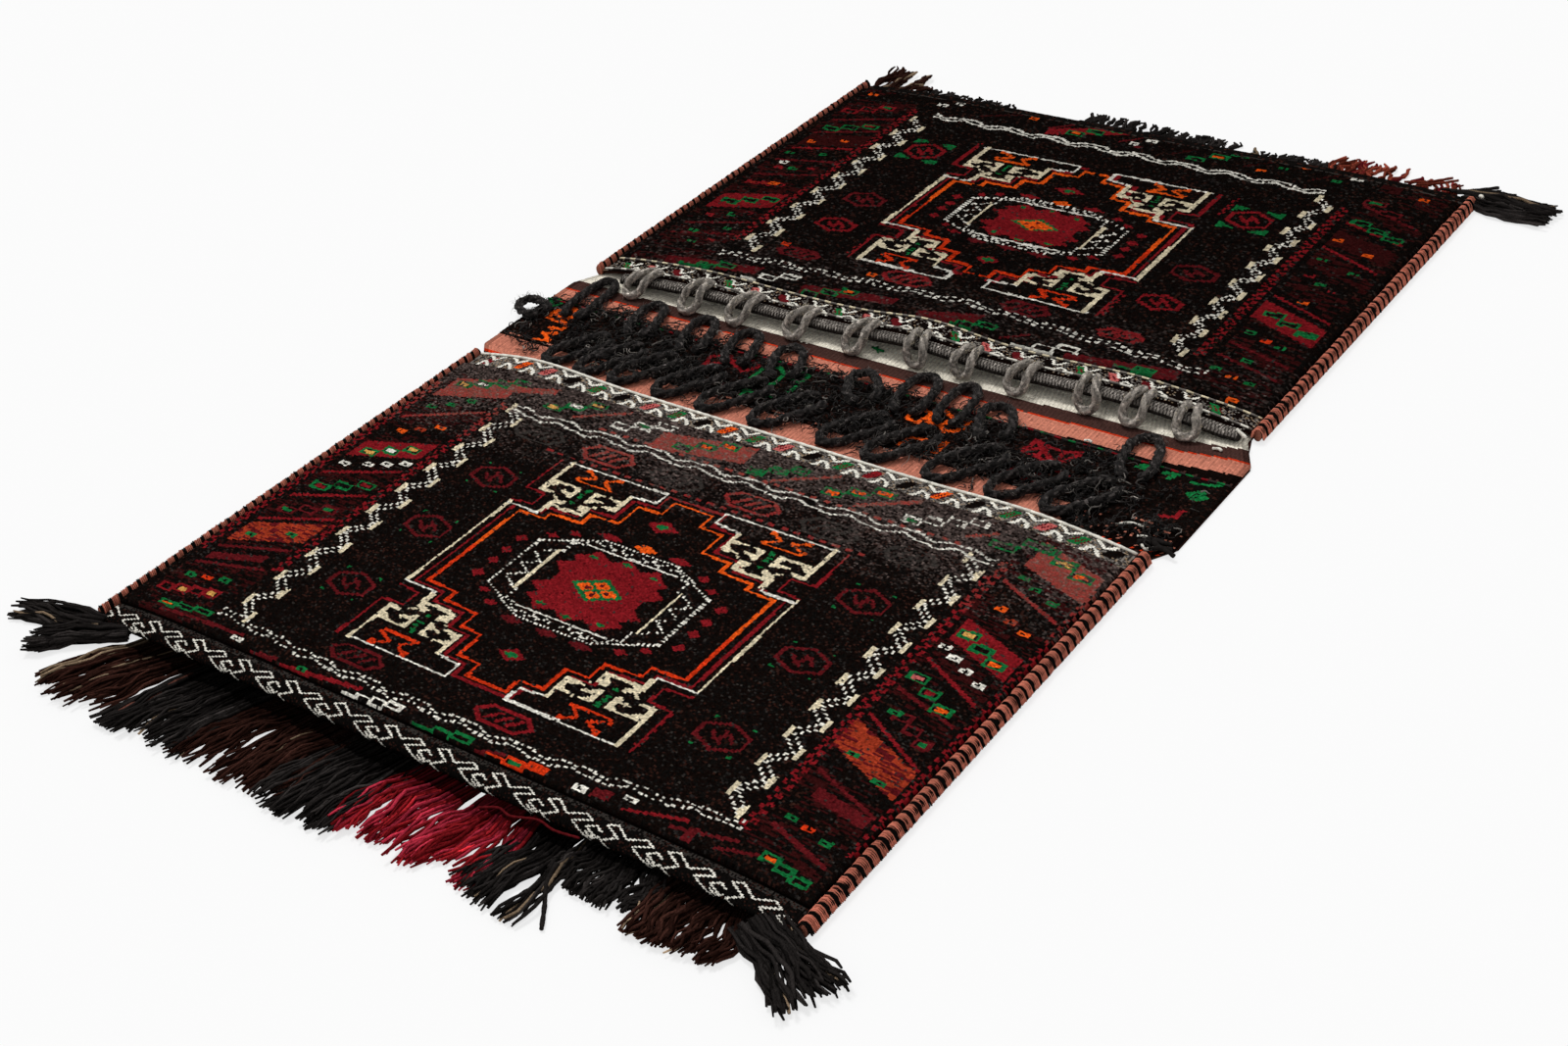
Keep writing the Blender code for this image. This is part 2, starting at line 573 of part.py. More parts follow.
def pad(name, upper, lower, kept):
    """A closed solid between two grids of points, without the cells that are not kept."""
    rows, columns = upper.shape[:2]
    base = rows * columns
    faces, borders = [], {}
    for i, j in np.argwhere(kept):
        a = int(i) * columns + int(j)
        ring = (a, a + columns, a + columns + 1, a + 1)
        faces.append(ring)
        faces.append(tuple(base + p for p in reversed(ring)))
        for p, q in zip(ring, ring[1:] + ring[:1]):
            if (q, p) in borders:
                del borders[(q, p)]
            else:
                borders[(p, q)] = True
    faces += [(q, p, base + p, base + q) for p, q in borders]
    used = sorted({p for face in faces for p in face})
    number = {p: k for k, p in enumerate(used)}
    points = np.concatenate([upper.reshape(-1, 3), lower.reshape(-1, 3)])[used]
    return mesh_of(name, points, [tuple(number[p] for p in face) for face in faces])


def build_end_fringe(name, pouch, left, right, length, thickness, bundle_width, finish, parts):
    """Yarns that come out from under a fold and lie straight out on the floor."""
    bundles = max(2, round((right - left) / bundle_width))
    pitch = (right - left) / bundles
    turn = math.pi * TUFT_TURN / FOLD_STEPS
    tuck = FOLD_REACH * (1 - math.sin(turn))
    stations = [
        (-tuck / length, lambda x: pouch.fold_height(x) * (1 + math.cos(turn)) - CLEAR, 1.0),
        (CLEAR / length, lambda x: min(ROOT_RISE * thickness, pouch.fold_height(x) - CLEAR), ROOT_FULLNESS),
    ]
    stations += [(t, lambda x, h=h: h * thickness, w) for t, h, w in FRINGE_STATIONS]

    def place(across, along, bundle):
        x = left + across * pitch
        swing = TUFT_SWAY * math.sin(2 * math.pi * x / SWAY_WAVE) * max(along, 0.0) ** 2
        rag = TUFT_RAG * math.sin(RAG_TURN * bundle + 2 * math.pi * left / SWAY_WAVE)
        inward = min(1.0, SWAY_INSET * min(x - left, right - x) / (right - left))
        return x + swing * inward, pouch.end + pouch.direction * length * along * (1 + rag * along)

    comb(name, bundles, stations, place, finish, parts)


def build_corner_tuft(name, pouch, side, root, tip, width, thickness, finish, parts):
    """Yarns splayed out past a corner; root and tip are given from the corner of the strip."""
    start = np.array([side * (HALF_STRIP + root[0]), pouch.end + root[1]])
    run = np.array([side * (HALF_STRIP + tip[0]), pouch.end + tip[1]]) - start
    sideways = np.array([-run[1], run[0]]) / np.linalg.norm(run)
    shares = np.array(CORNER_STATIONS)
    stations = [(t, lambda x, h=h: h * thickness, w) for t, h, w, _ in CORNER_STATIONS]
    stations[0] = (0.0, lambda x: min(CORNER_STATIONS[0][1] * thickness, pouch.fold_height(x)), 1.0)

    def place(across, along, bundle):
        wide = width * np.interp(along, shares[:, 0], shares[:, 3])
        reach = along * (1 - TUFT_RAG * (bundle % 2) * along)
        return start + run * reach + sideways * wide * (across / CORNER_BUNDLES - 0.5)

    comb(name, CORNER_BUNDLES, stations, place, finish, parts)


def build_fringes(near, far, parts):
    """Every fringe and corner tuft of both folds."""
    for pouch, fringe, bundle in ((near, NEAR_FRINGE, NEAR_BUNDLE), (far, FAR_FRINGE, FAR_BUNDLE)):
        for name, left, right, length, thickness, finish in fringe:
            sides = (left * HALF_STRIP, right * HALF_STRIP)
            build_end_fringe(name, pouch, *sides, length, thickness, bundle, finish, parts)
    for pouch, tufts in ((near, NEAR_CORNER_TUFTS), (far, FAR_CORNER_TUFTS)):
        for name, side, root, tip, width, thickness, finish in tufts:
            build_corner_tuft(name, pouch, side, root, tip, width, thickness, finish, parts)


def build_tie(parts):
    """A knotted white thread: a small ring with two loose ends, lying on the bridge."""
    x, y = HALF_BRIDGE - TIE_PLACE[0], NEAR_MOUTH + TIE_PLACE[1]
    z = BACK + TIE_THREAD / 2 + CLEAR
    route = through([(x + TIE_SIZE * u, y + TIE_SIZE * v, z) for u, v in TIE_ROUTE], 2 * TIE_THREAD)
    build_cord("white_tie", route, TIE_THREAD, "white_thread", parts)


def main():
    """Builds the whole bag."""
    clear_scene()
    parts = bpy.data.collections.new("saddle_bag")
    bpy.context.scene.collection.children.link(parts)
    near, far = pouches()
    build_strip(near, far, parts)
    for name, pouch in (("near", near), ("far", far)):
        build_side_binding(f"{name}_left_binding", pouch, -1, parts)
        build_side_binding(f"{name}_right_binding", pouch, 1, parts)
    build_mouth_roll(far, parts)
    build_loops(far, parts)
    build_fringes(near, far, parts)
    build_tie(parts)


main()
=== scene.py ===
"""Looks of a kilim saddle bag that lies flat: two knotted-pile pouches joined by a woven bridge.

Lengths are in metres, in the frame of the solid model: +Y runs from the near pouch to the far one and
the origin is under the middle of the bridge's panel. The woven design is drawn in millimetres from the
bag's left side and from its near fold.
"""

import logging
import math
from collections.abc import Callable
from dataclasses import dataclass
from enum import Enum

import bpy
import numpy as np
from mathutils import Matrix


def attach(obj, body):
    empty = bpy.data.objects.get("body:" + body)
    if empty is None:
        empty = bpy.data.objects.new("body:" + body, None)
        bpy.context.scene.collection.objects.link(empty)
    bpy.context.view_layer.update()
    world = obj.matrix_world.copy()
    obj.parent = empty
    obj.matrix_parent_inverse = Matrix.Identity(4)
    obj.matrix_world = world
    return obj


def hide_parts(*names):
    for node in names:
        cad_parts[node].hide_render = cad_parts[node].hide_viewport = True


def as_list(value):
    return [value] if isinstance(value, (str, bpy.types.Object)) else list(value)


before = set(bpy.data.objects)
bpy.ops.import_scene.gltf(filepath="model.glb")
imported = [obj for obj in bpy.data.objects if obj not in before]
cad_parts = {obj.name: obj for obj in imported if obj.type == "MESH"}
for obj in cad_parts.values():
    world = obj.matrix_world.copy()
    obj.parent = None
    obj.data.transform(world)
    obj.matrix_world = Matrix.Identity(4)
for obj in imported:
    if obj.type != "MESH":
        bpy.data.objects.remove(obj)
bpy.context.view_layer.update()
LOG = logging.getLogger("saddle_bag")

BODY = "root"
CLEAR = 0.0003            # between pieces that touch, as in the solid model

Points = list[tuple[float, float]]
Surface = Callable[[np.ndarray, np.ndarray, np.ndarray], np.ndarray]


class Dye(Enum):
    """The wools' colours, as display values from 0 to 255."""

    GROUND = (17, 10, 8)
    BLACK = (14, 12, 11)
    BROWN = (46, 26, 21)
    CRIMSON = (126, 24, 30)
    MADDER = (92, 22, 26)
    WINE = (52, 16, 16)
    RUST = (156, 54, 32)
    RUSSET = (104, 46, 34)
    ORANGE = (232, 88, 24)
    EMBER = (208, 54, 20)
    YELLOW = (214, 160, 84)
    GREEN = (20, 106, 54)
    CREAM = (226, 212, 180)
    WHITE = (232, 228, 216)
    TAN = (150, 128, 104)
    SOOT = (34, 31, 30)
    ROSE = (168, 44, 62)
    SALMON = (202, 126, 104)
    PINK = (190, 96, 92)
    STRIPE_BROWN = (74, 50, 45)
    STRIPE_CREAM = (250, 242, 224)
    GREY = (118, 112, 106)
    FELT_GREY = (138, 131, 123)
    DARK_GREY = (52, 48, 45)

    @property
    def linear(self) -> np.ndarray:
        """The colour as scene-linear values."""
        value = np.array(self.value) / 255
        return np.where(value <= 0.04045, value / 12.92, ((value + 0.055) / 1.055) ** 2.4)


DYES = list(Dye)
NUMBER = {dye: k for k, dye in enumerate(DYES)}
DYE_TABLE = np.array([dye.linear for dye in DYES])


def eased(t: np.ndarray) -> np.ndarray:
    """A smooth step from 0 to 1: three t squared less two t cubed."""
    t = np.clip(t, 0.0, 1.0)
    return t * t * (3 - 2 * t)


def unit(vectors: np.ndarray) -> np.ndarray:
    """Vectors along the last axis, each divided by its length."""
    return vectors / np.maximum(np.linalg.norm(vectors, axis=-1, keepdims=True), 1e-12)


def spaced(low: float, high: float, step: float) -> np.ndarray:
    """Even places from one to another, about a step apart."""
    return np.linspace(low, high, round((high - low) / step) + 1)


def feed(tree: bpy.types.NodeTree, node: bpy.types.Node, inputs: dict) -> None:
    """Gives a node's inputs their values, or links the sockets that feed them.

    Args:
        tree: the node's tree.
        node: whose inputs they are.
        inputs: for an input's name or number, its value or the socket that feeds it.
    """
    for name, value in inputs.items():
        if isinstance(value, bpy.types.NodeSocket):
            tree.links.new(value, node.inputs[name])
        else:
            node.inputs[name].default_value = value


def new_node(tree: bpy.types.NodeTree, kind: str, inputs: dict | None = None) -> bpy.types.Node:
    """Adds a node to a tree.

    Args:
        tree: the material's or the world's tree.
        kind: the node's type without its leading ShaderNode.
        inputs: what its inputs are given, as for feed.

    Returns:
        The new node.
    """
    node = tree.nodes.new(f"ShaderNode{kind}")
    feed(tree, node, inputs or {})
    return node


@dataclass(frozen=True)
class Wool:
    """A wool finish; the colour itself comes from the piece's own dye attribute.

    Attributes:
        name: the material's name.
        fibre: size of one fibre's shade, in metres.
        stretch: how many times longer than wide a fibre's shade is, along X, Y and Z.
        contrast: how far a fibre's shade departs from the dye.
        fleck: share of pale flecks, from 0 to 1.
        bump: height of the fibres, in metres.
        roughness: the surface's roughness.
        sheen: the weight of the fuzz's sheen.
        rib: width of one rib of weave across X, or 0 for none.
    """

    name: str
    fibre: float = 0.0011
    stretch: tuple[float, float, float] = (1.0, 1.0, 1.0)
    contrast: float = 0.35
    fleck: float = 0.10
    bump: float = 0.0004
    roughness: float = 0.92
    sheen: float = 0.0
    rib: float = 0.0

    def material(self) -> bpy.types.Material:
        """The finish as a material, made once."""
        if self.name in bpy.data.materials:
            return bpy.data.materials[self.name]
        made = bpy.data.materials.new(self.name)
        made.use_nodes = True
        tree = made.node_tree
        dye = new_node(tree, "Attribute")
        dye.attribute_name = "dye"
        place = new_node(tree, "TexCoord").outputs["Object"]
        size = tuple(1 / (self.fibre * s) for s in self.stretch)
        grain = new_node(tree, "Mapping", {"Scale": size, "Vector": place}).outputs["Vector"]
        noise = {"Scale": 1.0, "Detail": 2.0, "Roughness": 0.7, "Vector": grain}
        fibres = new_node(tree, "TexNoise", noise).outputs["Fac"]
        spread = {"From Min": 0.3, "From Max": 0.7, "To Min": 1 - self.contrast, "To Max": 1 + self.contrast}
        shade = new_node(tree, "MapRange", {**spread, "Value": fibres})
        shaded = new_node(tree, "VectorMath")
        shaded.operation = "SCALE"
        feed(tree, shaded, {0: dye.outputs["Color"], "Scale": shade.outputs["Result"]})
        spots = new_node(tree, "TexNoise", {"Scale": 1.7, "Detail": 1.0, "Vector": grain})
        rare = {"From Min": 0.60, "From Max": 0.72, "To Max": self.fleck}
        pale = new_node(tree, "MapRange", {**rare, "Value": spots.outputs["Fac"]})
        mixed = new_node(tree, "Mix")
        mixed.data_type = "RGBA"
        feed(tree, mixed, {"Factor": pale.outputs["Result"], "A": shaded.outputs["Vector"],
                           "B": (*Dye.GREY.linear, 1.0)})
        bump = new_node(tree, "Bump", {"Distance": self.bump, "Strength": 0.8, "Height": fibres})
        if self.rib:
            wave = {"Scale": math.pi / 10 / self.rib, "Distortion": 0.8, "Detail": 0.0, "Vector": place}
            ribs = new_node(tree, "TexWave", wave).outputs["Fac"]
            raised = new_node(tree, "Bump", {"Distance": self.rib * 0.16, "Height": ribs})
            feed(tree, bump, {"Normal": raised.outputs["Normal"]})
        feed(tree, tree.nodes["Principled BSDF"], {
            "Roughness": self.roughness, "Sheen Weight": self.sheen, "Sheen Roughness": 0.6,
            "Specular IOR Level": 0.0, "Base Color": mixed.outputs["Result"], "Normal": bump.outputs["Normal"],
        })
        return made


PILE_WOOL = Wool("knotted_pile", fibre=0.0010, stretch=(1.6, 1.0, 1.0), contrast=0.45, fleck=0.05)
WOVEN_WOOL = Wool("flat_weave", fibre=0.0008, contrast=0.25, fleck=0.03, bump=0.0002, rib=0.0022)
FELTED_WOOL = Wool("felted_cord", fibre=0.0009, contrast=0.5, fleck=0.08, sheen=0.05)
YARN_WOOL = Wool("fringe_yarn", fibre=0.0007, stretch=(1.0, 2.5, 1.0), contrast=0.5, fleck=0.04)
STITCH_WOOL = Wool("overcast_stitches", fibre=0.0006, contrast=0.3, fleck=0.05)


class Mesh:
    """Points and faces gathered group by group, then put into one piece of the object."""

    def __init__(self) -> None:
        """Starts with nothing."""
        self.points: list[np.ndarray] = []
        self.corners: list[np.ndarray] = []
        self.sizes: list[np.ndarray] = []
        self.colours: list[np.ndarray] = []
        self.count = 0

    def add(self, points: np.ndarray, groups: list[np.ndarray], colours: np.ndarray) -> None:
        """Adds points and their faces.

        Args:
            points: places, one to a row.
            groups: arrays of faces, each with as many columns as its faces have corners.
            colours: one linear colour to a face, in the order of the groups.
        """
        self.points.append(points.reshape(-1, 3))
        for faces in groups:
            self.corners.append(faces.ravel() + self.count)
            self.sizes.append(np.full(len(faces), faces.shape[1]))
        self.colours.append(colours)
        self.count += len(self.points[-1])

    def piece(self, name: str, finish: Wool, slot: str, nodes: tuple[str, ...] = ()) -> bpy.types.Object:
        """Makes the piece and lets it ride on the bag.

        Args:
            name: the piece's name.
            finish: its material.
            slot: not used.
            nodes: solids of the model that it stands for.

        Returns:
            The new object, at the origin.
        """
        corners, sizes = np.concatenate(self.corners), np.concatenate(self.sizes)
        points = np.concatenate(self.points).astype(np.float32)
        starts = np.concatenate([[0], np.cumsum(sizes)[:-1]])
        mesh = bpy.data.meshes.new(name)
        mesh.vertices.add(len(points))
        mesh.vertices.foreach_set("co", points.ravel())
        mesh.loops.add(len(corners))
        mesh.loops.foreach_set("vertex_index", corners.astype(np.int32))
        mesh.polygons.add(len(sizes))
        mesh.polygons.foreach_set("loop_start", starts.astype(np.int32))
        mesh.update(calc_edges=True)
        dye = mesh.attributes.new("dye", "FLOAT_COLOR", "FACE")
        colours = np.concatenate(self.colours).astype(np.float32)
        dye.data.foreach_set("color", np.c_[colours, np.ones(len(colours), np.float32)].ravel())
        mesh.polygons.foreach_set("use_smooth", np.ones(len(sizes), bool))
        mesh.materials.append(finish.material())
        made = bpy.data.objects.new(name, mesh)
        bpy.context.scene.collection.objects.link(made)
        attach(made, BODY)
        if nodes:
            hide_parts(*nodes)
        LOG.info("%s: %d faces", name, len(sizes))
        return made


def piece_of(name: str, parts: tuple, finish: Wool, slot: str, nodes: tuple[str, ...] = ()) -> bpy.types.Object:
    """Makes a piece out of one set of points, face groups and colours.

    Args:
        name: the piece's name.
        parts: what the mesh takes.
        finish: its material.
        slot: the record's material slot.
        nodes: solids of the model that it stands for.

    Returns:
        The new object.
    """
    mesh = Mesh()
    mesh.add(*parts)
    return mesh.piece(name, finish, slot, nodes)


def tubes(paths: np.ndarray, radii: np.ndarray, sides: int, up: tuple[float, float, float] = (0, 0, 1),
          flat: float = 1.0) -> tuple[np.ndarray, list[np.ndarray]]:
    """Tubes along many paths at once.

    Each ring is the path's point plus radius times the cosine of the turn sideways and radius times the
    sine of the turn along the normal, sideways being the tangent crossed with up.

    Args:
        paths: (tubes, stations, 3) points.
        radii: broadcast to (tubes, stations, sides).
        sides: corners of a ring.
        up: a direction that no path runs along.
        flat: the height of a section as a share of its width.

    Returns:
        The points and the faces: quads, then one cap for each end.
    """
    count, stations = paths.shape[:2]
    tangent = unit(np.gradient(paths, axis=1))
    sideways = unit(np.cross(tangent, np.array(up, float)))
    normal = np.cross(sideways, tangent)
    turn = np.arange(sides) * 2 * math.pi / sides
    wide = radii * np.cos(turn)
    tall = radii * np.sin(turn) * flat
    points = paths[:, :, None] + sideways[:, :, None] * wide[..., None] + normal[:, :, None] * tall[..., None]
    tube, i, k = np.meshgrid(np.arange(count), np.arange(stations - 1), np.arange(sides), indexing="ij")
    here = (tube * stations + i) * sides
    there, after = here + sides, (k + 1) % sides
    quads = np.stack([here + k, here + after, there + after, there + k], -1).reshape(-1, 4)
    ring = np.arange(count)[:, None] * stations * sides
    first = ring + np.arange(sides)[::-1]
    last = ring + (stations - 1) * sides + np.arange(sides)
    return points, [quads, np.concatenate([first, last])]


def relief(upper: np.ndarray, floor: np.ndarray, colours: np.ndarray, edge: np.ndarray,
           step: int = 14) -> tuple[np.ndarray, list[np.ndarray], np.ndarray]:
    """A closed cloth: a grid of small cells on a plain back.

    The rim joins the outer points to the floor, and the floor's large faces take in every point of the
    rim, so that nothing stays open.

    Args:
        upper: (rows + 1, columns + 1, 3) points between the cells.
        floor: points below them, the same shape.
        colours: (rows, columns, 3) linear colours.
        edge: the colour of the rim and back.
        step: cells to one face of the back.

    Returns:
        Points, face groups and one colour to a face.
    """
    rows, columns = upper.shape[0] - 1, upper.shape[1] - 1
    number = np.arange((rows + 1) * (columns + 1)).reshape(rows + 1, columns + 1)
    low = number + number.size
    cells = np.stack([number[:-1, :-1], number[:-1, 1:], number[1:, 1:], number[1:, :-1]], -1)
    rim = np.concatenate([number[0], number[1:, -1], number[-1, -2::-1], number[-2:0:-1, 0]])
    down = rim + number.size
    wall = np.stack([rim, down, np.roll(down, -1), np.roll(rim, -1)], -1)
    lines = [np.unique(np.linspace(0, n, max(2, n // step) + 1).round().astype(int))
             for n in (rows, columns)]
    groups = [cells.reshape(-1, 4), wall]
    for r0, r1 in zip(lines[0][:-1], lines[0][1:]):
        for c0, c1 in zip(lines[1][:-1], lines[1][1:]):
            near = low[0, c0:c1] if r0 == 0 else low[r0, c0:c0 + 1]
            right = low[r0:r1, -1] if c1 == columns else low[r0:r0 + 1, c1]
            far = low[-1, c1:c0:-1] if r1 == rows else low[r1, c1:c1 + 1]
            left = low[r1:r0:-1, 0] if c0 == 0 else low[r1:r1 + 1, c0]
            groups.append(np.concatenate([near, right, far, left])[None, ::-1])
    kept = np.zeros(2 * number.size, bool)
    for faces in groups:
        kept[faces] = True
    points = np.concatenate([upper.reshape(-1, 3), floor.reshape(-1, 3)])[kept]
    renumbered = np.cumsum(kept) - 1
    groups = [renumbered[faces] for faces in groups]
    plain = sum(len(faces) for faces in groups[1:])
    return points, groups, np.concatenate([colours.reshape(-1, 3), np.tile(edge, (plain, 1))])


@dataclass(frozen=True)
class Strip:
    """Sizes of the woven strip, as in the solid model."""

    pouch_width: float = 0.620
    side_cord: float = 0.008
    bridge_spread: float = 0.008
    near_pouch: float = 0.3985
    far_pouch: float = 0.4115
    near_bare: float = 0.038
    far_bare: float = 0.056
    back: float = 0.0025
    face_weave: float = 0.003
    pile: float = 0.004
    mouth_band: float = 0.021
    bottom_band: float = 0.019
    panel: float = 0.067
    panel_rise: float = 0.0015
    step: float = 0.0015
    panel_slope: float = 0.010
    pouch_gap: float = 0.0065
    seam_gap: float = 0.0015
    side_power: float = 8
    fold_reach: float = 0.009

    @property
    def half(self) -> float:
        """Half the strip's width between its side bindings."""
        return self.pouch_width / 2 - self.side_cord - CLEAR

    @property
    def half_bridge(self) -> float:
        """Half the bridge's width."""
        return self.pouch_width / 2 + self.bridge_spread

    @property
    def near_mouth(self) -> float:
        """Y of the near pouch's mouth."""
        return -(self.panel / 2 + self.near_bare)

    @property
    def far_mouth(self) -> float:
        """Y of the middle of the far pouch's mouth."""
        return self.panel / 2 + self.far_bare


STRIP = Strip()


@dataclass(frozen=True)
class Pouch:
    """One folded-over end of the strip, with the solid model's swellings of its face."""

    name: str
    direction: int
    mouth: float
    length: float
    lift: float
    skew: float
    swells: tuple[tuple[float, float, float, float, float], ...]
    lift_reach: float = 0.060
    skew_reach: float = 0.060

    @property
    def end(self) -> float:
        """Y of the fold."""
        return self.mouth + self.direction * self.length

    def y(self, x: np.ndarray, distance: np.ndarray) -> np.ndarray:
        """Y at a distance from the mouth, which may lie slantwise."""
        slant = self.skew * x / STRIP.pouch_width * eased(1 - distance / self.skew_reach)
        return self.mouth + self.direction * distance + slant

    def underside(self, x: np.ndarray, distance: np.ndarray) -> np.ndarray:
        """Height of the face's inner side: the seam's height, and the gap times a crown across X."""
        gap = STRIP.pouch_gap - STRIP.seam_gap + self.lift * eased(1 - distance / self.lift_reach)
        for place, far, rise, reach_x, reach_y in self.swells:
            away = ((x - place * STRIP.half) / reach_x) ** 2 + ((distance - far) / reach_y) ** 2
            gap = gap + rise * np.exp(-away)
        crown = np.maximum(1 - np.abs(x / STRIP.half) ** STRIP.side_power, 0.0)
        return STRIP.back + STRIP.seam_gap + crown * gap

    def fold_height(self, x: np.ndarray) -> np.ndarray:
        """Height of the fold where it reaches furthest out."""
        return (self.underside(x, self.length - STRIP.fold_reach) + STRIP.face_weave) / 2


NEAR = Pouch("near", -1, STRIP.near_mouth, STRIP.near_pouch, 0.0020, 0.0, (
    (-0.7789, 0.005, 0.0050, 0.060, 0.030),
    (0.7126, 0.010, 0.0030, 0.050, 0.035),
    (-0.2652, 0.130, 0.0020, 0.110, 0.070),
    (0.4972, 0.220, 0.0025, 0.090, 0.090),
    (-0.5635, 0.290, 0.0020, 0.080, 0.060),
))
FAR = Pouch("far", 1, STRIP.far_mouth, STRIP.far_pouch, 0.0040, 0.013, (
    (0.0663, 0.035, 0.0080, 0.050, 0.045),
    (-0.6298, 0.020, 0.0020, 0.050, 0.040),
    (0.6629, 0.015, 0.0030, 0.050, 0.035),
    (-0.3977, 0.190, 0.0020, 0.110, 0.080),
    (0.3646, 0.280, 0.0025, 0.090, 0.070),
))


SKIN_DEPTH = 0.0009       # from the woven surface down to the plain back of the skins on it
CAMERA_AT = (0.87501, -1.10645, 0.86985)
DRAWN_HEIGHT = 0.011      # height at which the design was drawn up along the camera's lines of sight


def design_place(points: np.ndarray) -> tuple[np.ndarray, np.ndarray]:
    """Where points lie in the woven design.

    The line of sight from the camera through each point is followed to the height at which the design
    was drawn up, and read off there from the bag's left side and near fold.

    Args:
        points: places in the model's frame.

    Returns:
        The places across and along, in millimetres.
    """
    share = ((points[..., 2] - DRAWN_HEIGHT) / (CAMERA_AT[2] - DRAWN_HEIGHT))[..., None]
    plan = (points[..., :2] - np.array(CAMERA_AT[:2]) * share) / (1 - share)
    return plan[..., 0] * 1000 + 310, plan[..., 1] * 1000 + 470


class Chart:
    """The dye of every cell of a cloth, drawn with fields and lines as on a weaver's chart."""

    def __init__(self, across: np.ndarray, along: np.ndarray, knot: tuple[float, float], ground: Dye) -> None:
        """Starts with one ground colour.

        Args:
            across: each cell's place across, in millimetres.
            along: each cell's place along.
            knot: a cell's width and length, in millimetres.
            ground: the dye of the ground.
        """
        self.across, self.along, self.knot = across, along, knot
        self.cells = np.full(across.shape, NUMBER[ground])

    def colour(self, dye: Dye, where: np.ndarray) -> None:
        """Gives the dye to the cells of a mask."""
        self.cells[where] = NUMBER[dye]

    def field(self, dye: Dye, points: Points) -> None:
        """Fills an outline: a cell is inside where a line to its left crosses it an odd number of times."""
        inside = np.zeros(self.cells.shape, bool)
        for (x0, y0), (x1, y1) in zip(points, points[1:] + points[:1]):
            if y0 != y1:
                beside = (self.along >= min(y0, y1)) & (self.along < max(y0, y1))
                inside ^= beside & (self.across < x0 + (self.along - y0) * (x1 - x0) / (y1 - y0))
        self.colour(dye, inside)

    def line(self, dye: Dye, points: Points, width: float = 1.0, dash: float = 0.0) -> None:
        """Draws a line through points, some cells wide: a cell counts where it is nearer than half the width.

        Args:
            dye: its colour.
            points: its corners, in millimetres.
            width: in cells.
            dash: length of one dash with its gap, in millimetres; 0 for a whole line.
        """
        gone = 0.0
        for (x0, y0), (x1, y1) in zip(points[:-1], points[1:]):
            length = max(math.hypot(x1 - x0, y1 - y0), 1e-6)
            t = ((self.across - x0) * (x1 - x0) + (self.along - y0) * (y1 - y0)) / length ** 2
            t = np.clip(t, 0, 1)
            off_x = np.abs(self.across - x0 - t * (x1 - x0)) / self.knot[0]
            off_y = np.abs(self.along - y0 - t * (y1 - y0)) / self.knot[1]
            near = np.maximum(off_x, off_y) <= width / 2
            if dash:
                near &= (gone + t * length) % dash < dash / 2
            self.colour(dye, near)
            gone += length

    def dot(self, dye: Dye, x: float, y: float, wide: float = 7.0, tall: float = 6.0) -> None:
        """A small lozenge."""
        near = np.abs(self.across - x) / wide + np.abs(self.along - y) / tall <= 0.5
        self.colour(dye, near)

    def ladder(self, dye: Dye, left: float, right: float, low: float, high: float) -> None:
        """A column of short dashes across, its two halves taking turns."""
        period = 8.5
        near = (self.across >= left) & (self.across <= right) & (self.along >= low) & (self.along <= high)
        half = np.where(self.across > (left + right) / 2, period / 2, 0.0)
        whole = np.sin(self.along * 0.83 + self.across * 1.9) > -0.72
        self.colour(dye, near & whole & ((self.along + half) % period < period * 0.55))


def placed(points: Points, at: tuple[float, float], scale: tuple[float, float]) -> Points:
    """Points of a motif stretched by the scale and moved to its place."""
    return [(at[0] + scale[0] * u, at[1] + scale[1] * v) for u, v in points]


def box(left: float, right: float, low: float, high: float) -> Points:
    """A rectangle's corners."""
    return [(left, low), (right, low), (right, high), (left, high)]


# One bracket's hooks, from its outer corner inwards and towards the medallion's middle, in millimetres.
HOOKS = (
    [(0.5, 23), (4.5, 25), (9, 24.6), (21, 25), (21, 26.4), (16, 26.8), (11, 28), (9.5, 30.5), (4.5, 33), (4.5, 37),
     (7, 37.6), (13, 37), (14, 38.6), (10, 40.8), (5, 41.5), (0.5, 40.5)],
    [(17, 25.2), (25, 24.2), (30.5, 24.2), (31, 32), (30.5, 39.5), (28, 39.5), (24, 36.8), (16.5, 34.5), (16.5, 32.8),
     (20, 32.4), (26.5, 33.2), (27, 30), (24.5, 27)],
    [(42, 24.2), (54, 24.4), (49, 26.6), (46.5, 29), (46, 31.4), (50, 32.2), (56, 32), (55, 33.6), (49, 35.2),
     (45.5, 38.5), (42, 38.6)],
    [(72, 15), (72, 38), (66, 38.6), (59, 37.8), (55.5, 36), (61, 35.4), (66, 33), (68.5, 31), (67, 28.4),
     (62, 26.8), (55, 24.8), (56, 23.6), (68.5, 24), (68.5, 15)],
    [(18.5, 64), (23, 64), (23.5, 54.6), (31, 54.2), (31, 52.6), (27, 50.8), (24, 50.4), (28.5, 49.6), (31.5, 47.6),
     (31, 42.8), (27.5, 44), (23.5, 46.4), (19.5, 47.6)],
    [(31, 55.4), (52.5, 54), (52.5, 42.6), (49, 42.2), (42, 41.4), (43, 46), (45.5, 49), (49, 50.4), (45, 51.2),
     (31, 52)],
    [(14.5, 41.2), (17, 41.4), (23, 44.6), (24, 46.6), (20, 45.4)],
    [(54, 39.6), (56.5, 39.4), (55.5, 42.2), (53.5, 41.6)],
)


